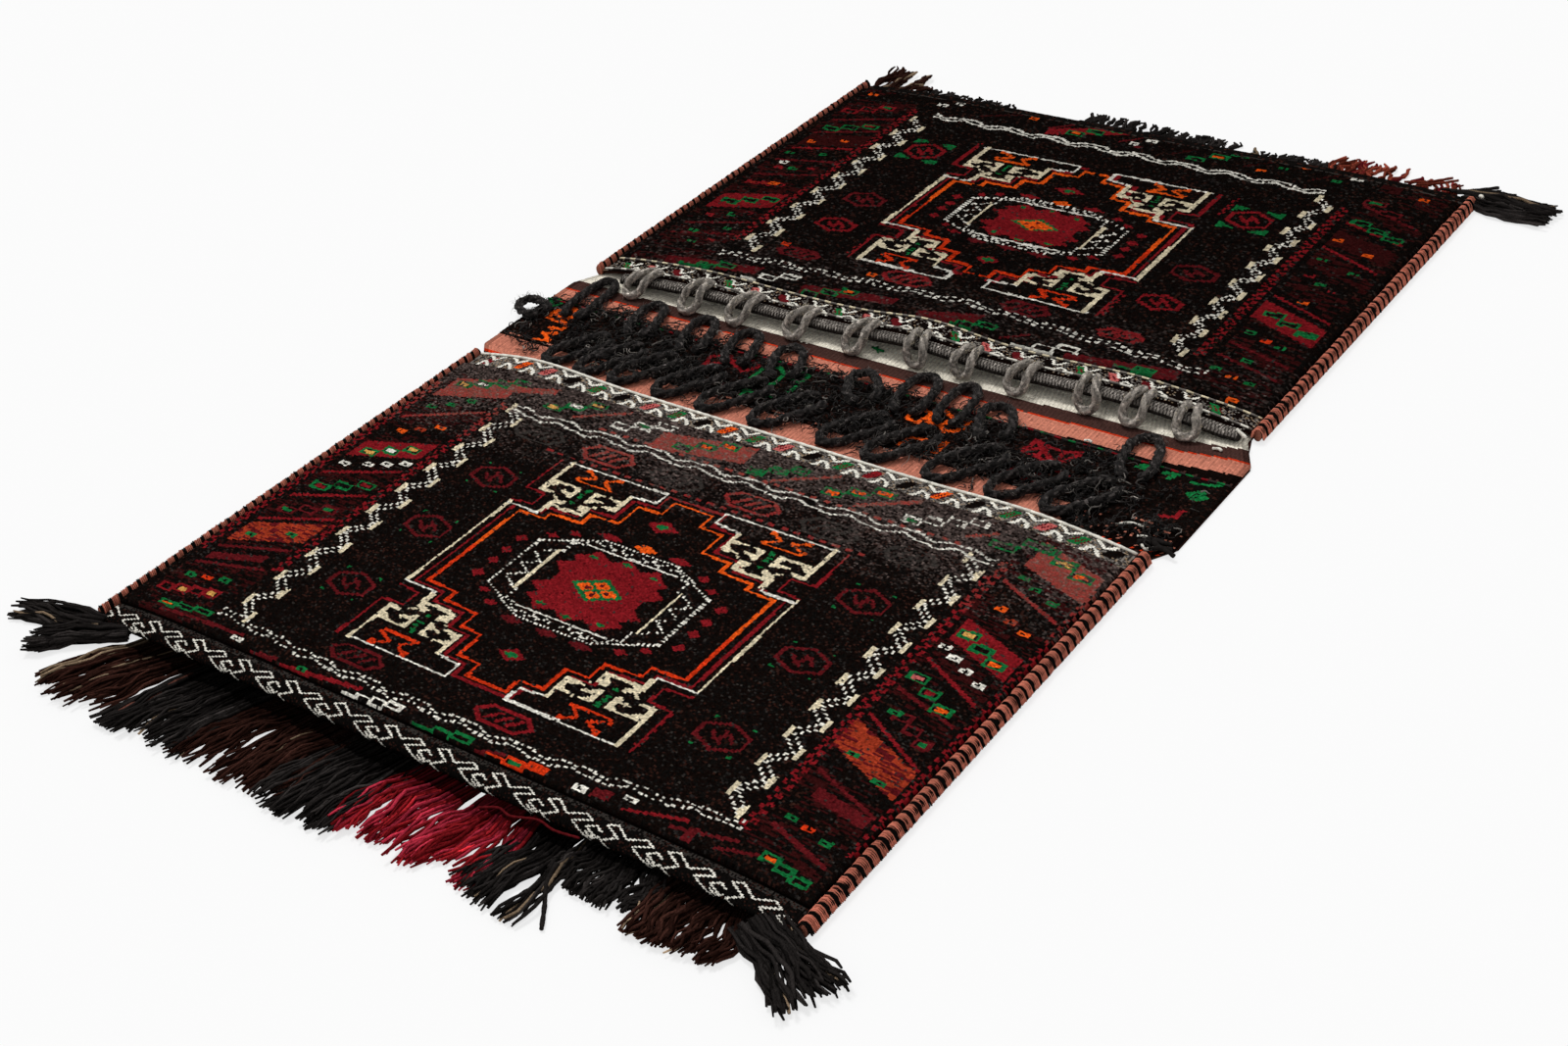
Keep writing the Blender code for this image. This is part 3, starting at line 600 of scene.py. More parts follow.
@dataclass(frozen=True)
class Medallion:
    """A pouch's stepped centre with an octagon in it and a hooked bracket at each corner.

    Attributes:
        centre: its middle, in millimetres.
        side: half the width between the white lines at its sides, and their upper and lower ends.
        steps: corners of the orange line's upper and of its lower quarters, from the middle.
        brackets: outer corner, direction and size across, and direction and size along, of each bracket.
        octagon: the octagon's size against the near one, across and along.
        quartered: whether the lozenge in its middle shows its four parts clearly.
    """

    centre: tuple[float, float]
    side: tuple[float, float, float]
    steps: tuple[tuple[tuple[float, float], ...], tuple[tuple[float, float], ...]]
    brackets: tuple[tuple[float, float, float, float], ...]
    octagon: tuple[float, float]
    quartered: bool

    def draw(self, chart: Chart) -> None:
        """Draws all of it."""
        x, (half, up, down) = self.centre[0], self.side
        for side in (-1, 1):
            for end, steps in ((1, self.steps[0]), (-1, self.steps[1])):
                outer = [(u + 8 if u > 0 else u, v + 4.5 if v > 0 else v) for u, v in steps]
                orange = Dye.ORANGE if end > 0 else Dye.EMBER
                chart.line(Dye.CRIMSON, placed(outer, self.centre, (side, end)), 1.5)
                chart.line(orange, placed(list(steps), self.centre, (side, end)), 1.6)
            edge = x + side * half
            chart.line(Dye.CREAM, [(edge, self.centre[1] + up), (edge, self.centre[1] - down)], 1.5)
        for bracket in self.brackets:
            self.draw_bracket(chart, *bracket)
        self.draw_octagon(chart)

    def draw_bracket(self, chart: Chart, x: float, y: float, wide: float, tall: float) -> None:
        """One corner: a white outline, cream hooks on both sides of a dark stem, and an orange figure."""
        at, scale = (x, y), (wide, tall)
        aside = (self.centre[0] + (self.side[0] if wide < 0 else -self.side[0]) - x) / wide
        for dye, points, width in (
            (Dye.WHITE, [(0, 0), (92, 0), (92, 13), (70, 15.5)], 1.3),
            (Dye.CREAM, [(2, 0), (2, 40)], 1.9),
            (Dye.WHITE, [(20, 64), (20, 66), (aside, 66)], 1.3),
            (Dye.CRIMSON, [(-9, 0), (-9, 43), (10, 44), (10, 59), (aside, 61)], 1.3),
        ):
            chart.line(dye, placed(points, at, scale), width)
        for points in HOOKS:
            chart.field(Dye.CREAM, placed(points, at, scale))
        for u, v in ((35.5, 43), (36, 35), (35.5, 31), (36.5, 27), (37, 24.5)):
            chart.dot(Dye.GREEN, *placed([(u, v)], at, scale)[0], 6, 3.4)
        orange = Dye.EMBER if tall > 0 else Dye.ORANGE
        for points in ([(18, 14), (20, 18), (51, 17.5), (40, 9), (51, 2)], [(22, 13.5), (32, 9), (19, 2)]):
            chart.line(orange, placed(points, at, scale), 1.5)
        for u in (20, 50):
            chart.field(orange, placed(box(u - 2.6, u + 2.6, 1, 6), at, scale))

    def draw_octagon(self, chart: Chart) -> None:
        """A dotted ring and a white one, dotted crosses between, and a toothed crimson field with a lozenge."""
        at, size = self.centre, self.octagon
        for side in (-1, 1):
            for end in (-1, 1):
                self.draw_quarter(chart, (side * size[0], end * size[1]))
        for u, v, wide, tall, dye in (
            (-32, 53, 24, 8, Dye.CRIMSON), (0, 53, 22, 9, Dye.ORANGE), (31, 53, 24, 8, Dye.CRIMSON),
            (-32, -53, 22, 8, Dye.MADDER), (0, -53, 22, 8, Dye.MADDER), (30, -53, 24, 8, Dye.MADDER),
            (-6, 80, 28, 15, Dye.CRIMSON), (-5, -82, 25, 13, Dye.CRIMSON), (-6, 80, 12, 7, Dye.GREEN),
            (-5, -82, 13, 7, Dye.GREEN),
        ):
            chart.dot(dye, at[0] + u, at[1] + v * size[1], wide, tall)
        lozenge = [(-23.5, 0), (0, 13.5), (23.5, 0), (0, -13.5)]
        chart.field(Dye.GREEN, placed(lozenge, at, size))
        chart.field(Dye.ORANGE, placed([(u * 0.78, v * 0.74) for u, v in lozenge], at, size))
        if self.quartered:
            for end in (-1, 1):
                chart.line(Dye.GREEN, placed([(-11, 6 * end), (11, -6 * end)], at, size), 1.1)
        for u, v in ((-9, 0), (9, 0), (0, 5.4), (0, -5.4)):
            chart.dot(Dye.MADDER, *placed([(u, v)], at, size)[0], 5, 4)

    def draw_quarter(self, chart: Chart, scale: tuple[float, float]) -> None:
        """One quarter of the octagon's rings, field and small triangles."""
        teeth = [(0, 0), (0, 38), (13, 30), (27, 37), (34, 29), (43, 25), (36, 20), (49, 13), (37, 5), (38, 0)]
        chart.field(Dye.CRIMSON, placed(teeth, self.centre, scale))
        for points, width, dash in (
            ([(76, 0), (76, 27), (54, 38), (32, 48.5), (0, 48.5)], 1.2, 3.6),
            ([(40, 38.5), (0, 39)], 1.2, 0.0),
            ([(52, 25), (52, 36), (40, 38.5)], 1.2, 4.4),
            ([(58, 23), (70, 15), (58, 7), (70, 0)], 1.0, 3.4),
            ([(5, 44), (10, 41), (15, 46), (20, 41), (25, 46), (30, 42), (36, 45), (44, 40)], 1.0, 3.4),
        ):
            chart.line(Dye.WHITE, placed(points, self.centre, scale), width, dash)
        chart.line(Dye.CREAM, placed([(55, 0), (55, 24)], self.centre, scale), 1.6)
        for u, v, wide, tall, dye in (
            (27, 29, 9, 4, Dye.GREEN), (0, 33, 9, 4, Dye.GREEN), (90, 7, 11, 9, Dye.CRIMSON),
            (90, 23, 11, 9, Dye.CRIMSON), (72, 36, 11, 6, Dye.CRIMSON), (58, 45, 12, 7, Dye.CRIMSON),
        ):
            chart.dot(dye, *placed([(u, v)], self.centre, scale)[0], wide, tall)


@dataclass(frozen=True)
class FaceDesign:
    """What one pouch's pile shows round its medallion; all places are in millimetres.

    Attributes:
        medallion: the centre.
        zigzags: first and second side of each white zigzag column, its upper end, lower end and half period.
        waves: points through which each doubled wavy line runs, how far its two lines lie apart, and a dash.
        ladders: columns of crimson dashes: left, right, low, high.
        rosettes: middle, width, height, and the size of the green corners.
        ovals: middle, width, height and dye.
        fields: slanting fields: left, right, height of the middle, thickness, rise, dye.
        chains: steps of boxes: left, right, low, high, line, the boxes' centres from the left, rise.
        dots: middle and dye.
        squares: middles of the white squares.
        dashes: rows of crimson dashes: left, right, height.
    """

    medallion: Medallion
    zigzags: tuple
    waves: tuple
    ladders: tuple
    rosettes: tuple
    ovals: tuple
    fields: tuple
    chains: tuple
    dots: tuple
    squares: tuple
    dashes: tuple

    def draw(self, chart: Chart) -> None:
        """Draws the design, from its fields to its smallest marks."""
        for left, right, middle, thick, rise, dye in self.fields:
            half = thick / 2
            chart.field(dye, [(left, middle - rise / 2 - half), (right, middle + rise / 2 - half),
                              (right, middle + rise / 2 + half), (left, middle - rise / 2 + half)])
        self.draw_streaks(chart)
        for ladder in self.ladders:
            chart.ladder(Dye.CRIMSON, *ladder)
        for left, right, height in self.dashes:
            chart.line(Dye.CRIMSON, [(left, height), (right, height)], 1.8, 11.0)
        for zigzag in self.zigzags:
            self.draw_zigzag(chart, *zigzag)
        for points, gap, dash in self.waves:
            for shift, late in ((-gap / 2, 0.0), (gap / 2, 9.0)):
                moved = [(x, y + shift + 0.9 * math.sin((x + late) / 3.6)) for x, y in points]
                chart.line(Dye.WHITE, moved, 1.15, dash)
        for rosette in self.rosettes:
            self.draw_rosette(chart, *rosette)
        for x, y, wide, tall, dye in self.ovals:
            ring = [(-0.5, 0), (-0.3, 0.5), (0.3, 0.5), (0.5, 0), (0.3, -0.5), (-0.3, -0.5), (-0.5, 0)]
            chart.line(dye, placed(ring, (x, y), (wide, tall)), 1.7)
            for shift in (-0.22, -0.03, 0.16):
                bar = [(shift - 0.05, -0.26), (shift + 0.12, 0.26)]
                chart.line(dye, placed(bar, (x, y), (wide, tall)), 1.5)
        for left, right, low, high, line, centres, rise in self.chains:
            wide, tall = (right - left) / len(centres), min(8.5, (high - low) * 0.5 + 2)
            for k, centre in enumerate(centres):
                share = (k + 0.5) / len(centres)
                y = low + (high - low) * (share if rise > 0 else 1 - share)
                self.draw_box(chart, left + wide * (k + 0.5), y, wide, tall, line, centre)
        for x, y, dye in self.dots:
            chart.field(dye, box(x - 4.6, x + 4.6, y - 2.3, y + 2.3))
            chart.dot(Dye.GROUND, x, y, 4, 3)
        for x, y in self.squares:
            chart.field(Dye.WHITE, box(x - 4.9, x + 4.9, y - 2.6, y + 2.6))
            chart.dot(Dye.GROUND, x, y, 5, 3.4)
        self.medallion.draw(chart)

    @staticmethod
    def draw_streaks(chart: Chart) -> None:
        """Broken dashes of dull red over both side borders, and dark ones over the rust fields."""
        rng = np.random.default_rng(chart.cells.shape[0])
        rows = np.repeat(rng.random((chart.cells.shape[0], chart.cells.shape[1] // 4 + 1)), 4, axis=1)
        rows = rows[:, :chart.cells.shape[1]]
        chart.colour(Dye.MADDER, (chart.cells == NUMBER[Dye.RUST]) & (rows < 0.34))
        for left, right, slope in ((18, 84, 0.36), (542, 604, -0.36)):
            slant = chart.along - slope * (chart.across - left)
            inside = (chart.across > left) & (chart.across < right) & (chart.cells == NUMBER[Dye.GROUND])
            dense = 0.26 + 0.22 * np.sin(slant / 7.5) + 0.12 * np.sin(slant / 23 + chart.across / 60)
            chart.colour(Dye.WINE, inside & (rows < dense))

    @staticmethod
    def draw_zigzag(chart: Chart, first: float, second: float, high: float, low: float, half: float) -> None:
        """A column of two broken white zigzags with a cream wedge at each elbow."""
        count = round((high - low) / half)
        points = [(first if k % 2 == 0 else second, high - half * k) for k in range(count + 1)]
        for shift in (-3.2, 3.2):
            chart.line(Dye.WHITE, [(x, y + shift) for x, y in points], 1.15, 4.6)
        for k, (x, y) in enumerate(points):
            out = -1 if (k % 2 == 0) == (first < second) else 1
            wedge = [(2.0, -6.2), (-1.4, -5.6), (-2.4, 1.5 * out), (-1.2, 6.0), (1.8, 6.4)]
            chart.field(Dye.CREAM, placed(wedge, (x, y), (out, 1)))

    @staticmethod
    def draw_rosette(chart: Chart, x: float, y: float, wide: float, tall: float, corner: float) -> None:
        """A six-sided crimson ring with a hooked bar in it and green triangles at its corners."""
        ring = [(-0.5, -0.22), (-0.5, 0.22), (0, 0.5), (0.5, 0.22), (0.5, -0.22), (0, -0.5), (-0.5, -0.22)]
        dye = Dye.CRIMSON if corner > 5 or tall < 24 else Dye.MADDER
        chart.line(dye, placed(ring, (x, y), (wide, tall)), 1.7)
        for bar in ([(-0.26, 0.1), (-0.1, -0.16), (0.04, 0.1), (-0.04, 0.24)],
                    [(0.26, -0.1), (0.1, 0.16), (-0.04, -0.1), (0.04, -0.24)]):
            chart.line(dye, placed(bar, (x, y), (wide, tall)), 1.2)
        for side in (-1, 1):
            for end in (-1, 1):
                at = (x + side * wide * 0.42, y + end * tall * 0.52)
                chart.field(Dye.GREEN, placed([(0.6, -0.5), (0.6, 0.5), (-0.7, 0.3)], at,
                                              (side * corner, end * corner * 0.8)))

    @staticmethod
    def draw_box(chart: Chart, x: float, y: float, wide: float, tall: float, line: Dye, centre: Dye) -> None:
        """One box of a chain, with a coloured middle."""
        half = wide * 0.54
        chart.field(line, box(x - half, x + half, y - tall / 2, y + tall / 2))
        chart.field(Dye.GROUND, box(x - half + 2.6, x + half - 2.6, y - tall / 2 + 1.9, y + tall / 2 - 1.9))
        chart.field(centre, box(x - half + 3.6, x + half - 3.6, y - tall / 2 + 2.3, y + tall / 2 - 2.3))


def wave(left: float, right: float, start: float, end: float, height: float) -> Points:
    """A wavy line: a slope with a sine of 45 millimetres on it."""
    x = np.arange(left, right + 1, 3.0)
    y = start + (end - start) * (x - left) / (right - left) + height * np.sin(2 * math.pi * x / 45)
    return list(zip(x.tolist(), y.tolist()))


# the dyes by one letter each, for the tables of the design
G, C, O, E, W, M, R, K, Y, N, P, D = (
    Dye.GREEN, Dye.CRIMSON, Dye.ORANGE, Dye.EMBER, Dye.WHITE, Dye.MADDER, Dye.RUST, Dye.GROUND, Dye.YELLOW,
    Dye.WINE, Dye.PINK, Dye.DARK_GREY,
)

NEAR_DESIGN = FaceDesign(
    medallion=Medallion(
        (310.5, 188.5), (129.5, 56, 53.5),
        (((115, 0), (115, 48), (91, 49), (91, 56), (63, 57), (63, 68), (38, 69), (38, 92), (17.5, 93), (17.5, 108),
          (0, 108)),
         ((115, 0), (115, 47), (87.5, 48), (87.5, 58), (57.5, 60), (57, 75.5), (38, 76), (37.5, 99), (18, 100),
          (17, 112.5), (0, 112.5))),
        ((189, 303, 1.0, -0.94), (432, 303, -1.06, -0.94), (189, 68, 1.0, 1.0), (428, 70, -1.03, 0.98)),
        (1.0, 1.0), True),
    zigzags=(
        (94.5, 112, 341.2, 48.6, 15.4), (514, 531, 338, 60, 14.63),
    ),
    waves=(
        (wave(96, 536, 341, 343, 2.2), 6.5, 0.0), (wave(88, 190, 45, 38, 1.0), 4.6, 5.2),
        (wave(190, 390, 38, 38, 1.6), 4.6, 5.2), (wave(390, 540, 38, 52, 1.2), 4.6, 5.2),
    ),
    ladders=(
        (82, 90, 95, 345), (10, 17, 90, 345), (536, 545, 50, 345), (606, 615, 60, 345), (436, 440, 75, 112),
    ),
    rosettes=(
        (148, 261, 35, 26, 3), (148, 190, 35, 26, 3), (148, 112, 35, 26, 3), (480, 264, 35, 26, 3),
        (480, 194, 35, 26, 3), (480, 109, 35, 26, 3),
    ),
    ovals=(
        (212, 54, 48, 15, M), (346, 54, 48, 16, C), (209, 322, 48, 18, C), (344, 322, 48, 17, C),
        (140, 322, 48, 18, D), (275, 321, 48, 18, D), (412, 321, 48, 18, D), (480, 320, 40, 18, D),
    ),
    fields=(
        (22, 80, 352, 28, 22, C), (22, 78, 309, 3.4, 33, C), (22, 79, 253, 22, 22, C),
        (22, 79, 219, 3.4, 28, C), (22, 79, 184, 3.4, 26, C), (22, 79, 150, 3.0, 26, C),
        (22, 79, 131, 25, 24, R), (22, 79, 109, 3.0, 20, M), (26, 70, 95, 8, 16, M),
        (22, 79, 85, 3.0, 16, M), (22, 72, 50, 5, 7, C), (45, 100, 29, 2.4, 6, M),
        (553, 608, 353, 30, -20, C), (549, 605, 315, 3.4, -26, C), (551, 605, 259, 24, -22, C),
        (549, 603, 221, 3.4, -28, C), (549, 600, 193, 3.0, -16, M), (547, 605, 156, 3.0, -32, C),
        (543, 604, 138, 27, -26, R), (549, 604, 104, 3.0, -20, M), (560, 602, 92, 10, -8, M),
        (553, 602, 54, 4, -16, M), (535, 576, 34, 2.6, 12, M), (60, 112, 366, 8, 20, C),
        (146, 186, 365, 3.4, 26, C), (226, 306, 364, 22, 14, C), (338, 382, 366, 3.4, 28, C),
        (410, 452, 367, 5, 26, C), (500, 520, 365, 3.4, 14, C), (140, 165, 24, 3, 3, M),
        (165, 240, 26, 3.6, 9, C), (345, 370, 25, 2.6, 8, M), (440, 455, 31, 8, 2, M),
        (466, 510, 33, 2.6, 12, C), (500, 545, 34, 3, 10, M), (512, 520, 30, 12, 2, M),
        (85, 125, 31, 2.6, 3, M),
    ),
    chains=(
        (27, 84, 347, 376, G, (Y, W, K, K), 1), (28, 72, 238, 264, G, (Y, W, Y), 1),
        (27, 75, 186, 211, G, (C, K, C), 1), (28, 72, 152, 174, M, (G, K, G), 1),
        (22, 72, 44, 57, C, (K, Y, K, Y), 1), (37, 84, 31, 39, G, (O, K, K), 1),
        (553, 598, 244, 271, G, (Y, K, O), -1), (548, 592, 190, 220, G, (P, C, O), -1),
        (562, 598, 158, 182, M, (K, K, G), -1), (563, 602, 28, 39, G, (O, K, K), -1),
        (550, 602, 349, 374, G, (G, Y, O), -1), (115, 164, 353, 378, G, (Y, W, Y), 1),
        (182, 231, 356, 378, W, (K, G, K), 1), (244, 292, 353, 379, G, (K, O, O), 1),
        (314, 358, 353, 376, G, (G, G, G), 1), (379, 430, 356, 380, G, (O, O, O), 1),
        (450, 508, 354, 379, W, (G, K, K, K), 1), (519, 560, 355, 377, G, (K, K), 1),
        (229, 279, 20, 30, W, (K, K, K, K), 1), (295, 342, 20, 29, G, (K, K, K), 1),
        (357, 404, 20, 31, E, (E, G, E), 1),
    ),
    dots=(
        (57, 334, G), (46, 323, G), (33, 314, G), (62, 293, O), (36, 276, O), (62, 71, G), (47, 67, E),
        (33, 64, G), (63, 134, G), (35, 120, G), (49, 284, R), (561, 336, G), (573, 328, G), (590, 320, G),
        (564, 300, O), (577, 291, R), (590, 284, O), (560, 135, G), (588, 121, G), (561, 71, G),
        (575, 68, E), (590, 63, G), (561, 180, G), (188, 26, G), (309, 243, O),
    ),
    squares=(
        (29, 222), (47, 229), (60, 236), (73, 243), (553, 249), (565, 242), (578, 234), (592, 226),
        (122, 28), (432, 28), (466, 36),
    ),
    dashes=((178, 505, 349), (160, 455, 308)),
)

FAR_DESIGN = FaceDesign(
    medallion=Medallion(
        (310.5, 771.5), (122.5, 51, 49),
        (((109, 0), (109, 44), (82, 46), (82, 53), (52.5, 54), (52.5, 69), (35.5, 70), (35.5, 92), (12, 94), (12, 106),
          (4, 106)),
         ((109, 0), (109, 44), (78, 45), (78, 53), (53, 54), (53, 68), (35, 69), (35, 83), (12, 84), (12, 95),
          (4, 95))),
        ((192, 885, 1.06, -0.97), (418, 884, -1.0, -0.97), (203, 659, 0.95, 0.98), (423, 660, -1.05, 0.98)),
        (1.0, 0.84), False),
    zigzags=(
        (95, 114, 910, 636, 16.1), (504, 520, 912, 638, 16.1),
    ),
    waves=(
        (wave(112, 504, 925, 922, 2.6), 5.0, 0.0), (wave(88, 328, 619, 634, 1.8), 5.0, 7.5),
        (wave(328, 547, 634, 619, 1.8), 5.0, 7.5),
    ),
    ladders=(
        (82, 90, 640, 930), (527, 536, 640, 905), (180, 184, 850, 890), (440, 444, 850, 885),
        (190, 194, 662, 700), (433, 437, 662, 700),
    ),
    rosettes=(
        (144, 856, 33, 30, 13), (469, 853, 35, 30, 13), (151, 702, 34, 23, 0), (467, 699, 34, 23, 0),
        (148, 752, 36, 25, 0), (470, 752, 36, 25, 0),
    ),
    ovals=(
        (262, 646, 46, 17, C), (464, 641, 38, 14, C), (152, 645, 40, 14, M), (376, 645, 42, 16, M),
    ),
    fields=(
        (22, 79, 707, 28, 22, C), (541, 601, 711, 28, -24, C), (24, 82, 842, 24, 18, N),
        (542, 600, 845, 24, -18, N), (226, 304, 952, 14, 30, C), (24, 80, 927, 3, 22, N),
        (24, 80, 891, 3.4, 24, M), (24, 82, 862, 3.4, 26, M), (24, 80, 823, 3.4, 20, C),
        (24, 80, 795, 3.4, 16, M), (24, 80, 764, 3, 20, M), (24, 80, 662, 3, 24, M),
        (24, 80, 640, 3, 20, M), (542, 600, 903, 3, -24, M), (542, 600, 871, 3, -20, C),
        (542, 600, 823, 3, -26, C), (542, 600, 795, 3, -22, N), (542, 600, 735, 3, -24, C),
        (542, 600, 660, 3, -18, M), (542, 600, 640, 3, -18, M), (150, 190, 950, 3, 20, N),
        (222, 244, 950, 3, 18, M), (296, 314, 950, 3, 16, M), (352, 368, 948, 3, 16, N),
        (420, 440, 950, 3, 18, N), (484, 504, 950, 3, 18, N), (50, 140, 597, 12, 16, M),
        (190, 275, 603, 12, 14, M), (300, 352, 608, 14, 16, M), (380, 400, 604, 3, 14, M),
        (440, 532, 600, 14, 14, M),
    ),
    chains=(
        (21, 66, 897, 926, C, (K, K, G), 1), (26, 74, 858, 884, G, (K, K, C), 1),
        (28, 76, 696, 722, G, (K, K, K), 1), (541, 578, 902, 928, M, (G, K), -1),
        (546, 596, 864, 889, G, (K, K, K), -1), (547, 598, 697, 723, G, (K, K, G), -1),
        (244, 292, 938, 966, G, (O, K, G), 1), (368, 417, 933, 966, G, (K, O, K), 1),
        (66, 116, 583, 605, G, (O, G, K), 1), (129, 178, 584, 612, W, (K, K, K), 1),
        (194, 238, 588, 611, G, (K, K, O), 1), (320, 370, 596, 612, G, (O, K, K), 1),
        (393, 447, 588, 609, W, (K, K, K), 1), (464, 514, 588, 606, G, (O, K, G), 1),
        (26, 64, 738, 746, C, (R, R, O), 1),
    ),
    dots=(
        (60, 963, O), (28, 942, O), (88, 969, G), (62, 844, O), (33, 831, O), (60, 812, G), (28, 803, G),
        (50, 777, G), (66, 783, C), (36, 774, C), (52, 745, O), (54, 679, G), (35, 671, C), (66, 688, M),
        (40, 641, G), (66, 656, G), (52, 624, G), (66, 632, C), (550, 850, O), (580, 835, O), (567, 777, G),
        (552, 815, G), (584, 803, G), (553, 786, C), (580, 769, C), (567, 745, O), (551, 687, G),
        (567, 680, E), (582, 675, G), (567, 648, G), (552, 629, G), (568, 622, O), (584, 619, G),
        (200, 955, O), (470, 961, O), (438, 940, O), (454, 951, G), (536, 968, G), (505, 946, G),
        (584, 943, O), (583, 594, O), (232, 640, O), (132, 654, E), (318, 940, M),
    ),
    squares=(
        (132, 968), (119, 956), (105, 947), (337, 964), (324, 955), (311, 944), (519, 957), (34, 785),
    ),
    dashes=(),
)


@dataclass(frozen=True)
class Skin:
    """A cloth surface of small cells, such as knots or the beats of a weave.

    Attributes:
        surface: gives points from a place across, a place along and a lift above the cloth's inner side.
        across: the sides of the cells across.
        along: their sides along, in the order of rising Y.
        top: lift of its upper side.
        floor: lift of its plain back.
        ragged: how unevenly its points stand up.
        border: how far the outermost points drop.
        seed: for the unevenness.
    """

    surface: Surface
    across: np.ndarray
    along: np.ndarray
    top: float
    floor: float
    ragged: float
    border: float
    seed: int

    def middles(self) -> np.ndarray:
        """Points in the middles of the cells."""
        x = (self.across[:-1] + self.across[1:]) / 2
        s = (self.along[:-1] + self.along[1:]) / 2
        x, s = np.meshgrid(x, s)
        return self.surface(x, s, np.full_like(x, self.top))

    def chart(self, ground: Dye) -> Chart:
        """An empty chart of the cells, with their places in the design."""
        across, along = design_place(self.middles())
        knot = (float(np.median(np.diff(across, axis=1))), float(np.median(np.abs(np.diff(along, axis=0)))))
        return Chart(across, along, knot, ground)

    def piece(self, name: str, colours: np.ndarray, finish: Wool, back: Dye) -> bpy.types.Object:
        """Makes the skin.

        Args:
            name: the piece's name.
            colours: (rows, columns, 3) linear colours.
            finish: its material.
            back: the dye of its rim and back.

        Returns:
            The new object.
        """
        rng = np.random.default_rng(self.seed)
        x, s = np.meshgrid(self.across, self.along)
        lift = self.top + np.minimum(rng.normal(-0.5, 1, x.shape), 0.7) * self.ragged
        lift[[0, -1]] -= self.border
        lift[1:-1, [0, -1]] -= self.border
        lift[[1, -2]] -= self.border * 0.25
        upper = self.surface(x, s, np.maximum(lift, self.floor + 0.0004))
        floor = self.surface(x, s, np.full_like(x, self.floor))
        return piece_of(name, relief(upper, floor, colours, back.linear), finish, "woven_wool")


def uneven(chart: Chart, seed: int, spread: float, streak: float = 0.06) -> np.ndarray:
    """The chart's colours as dyed by hand.

    Each cell's dye is multiplied by one plus a random share, and each row's by a slow random wander.

    Args:
        chart: the drawing.
        seed: for the unevenness.
        spread: from cell to cell.
        streak: from row to row.

    Returns:
        (rows, columns, 3) linear colours.
    """
    rng = np.random.default_rng(seed)
    rows = np.convolve(rng.normal(0, 1, chart.cells.shape[0] + 8), np.ones(9) / 3, "valid")
    shade = (1 + spread * rng.normal(0, 1, chart.cells.shape)) * (1 + streak * rows[:, None])
    return DYE_TABLE[chart.cells] * np.clip(shade, 0.35, 1.9)[..., None]


def face_surface(pouch: Pouch) -> Surface:
    """The surface of a pouch's face: X, and the pouch's Y and underside at the distance from its mouth."""
    def surface(x: np.ndarray, distance: np.ndarray, lift: np.ndarray) -> np.ndarray:
        """Points at a lift above the underside."""
        return np.stack([x, pouch.y(x, distance), pouch.underside(x, distance) + lift], -1)
    return surface


def band_skin(pouch: Pouch, surface: Surface, along: np.ndarray, knot: float, seed: int) -> Skin:
    """The fine, even cells of a flat-woven band across a pouch.

    Args:
        pouch: whose face it is on.
        surface: what it lies on.
        along: sides of its cells, going from the mouth to the fold.
        knot: a cell's width.
        seed: for the unevenness.

    Returns:
        The skin.
    """
    across, top = spaced(-STRIP.half, STRIP.half, knot), STRIP.face_weave
    return Skin(surface, across, along[::pouch.direction], top, top - SKIN_DEPTH, 0.0001, 0.0003, seed)


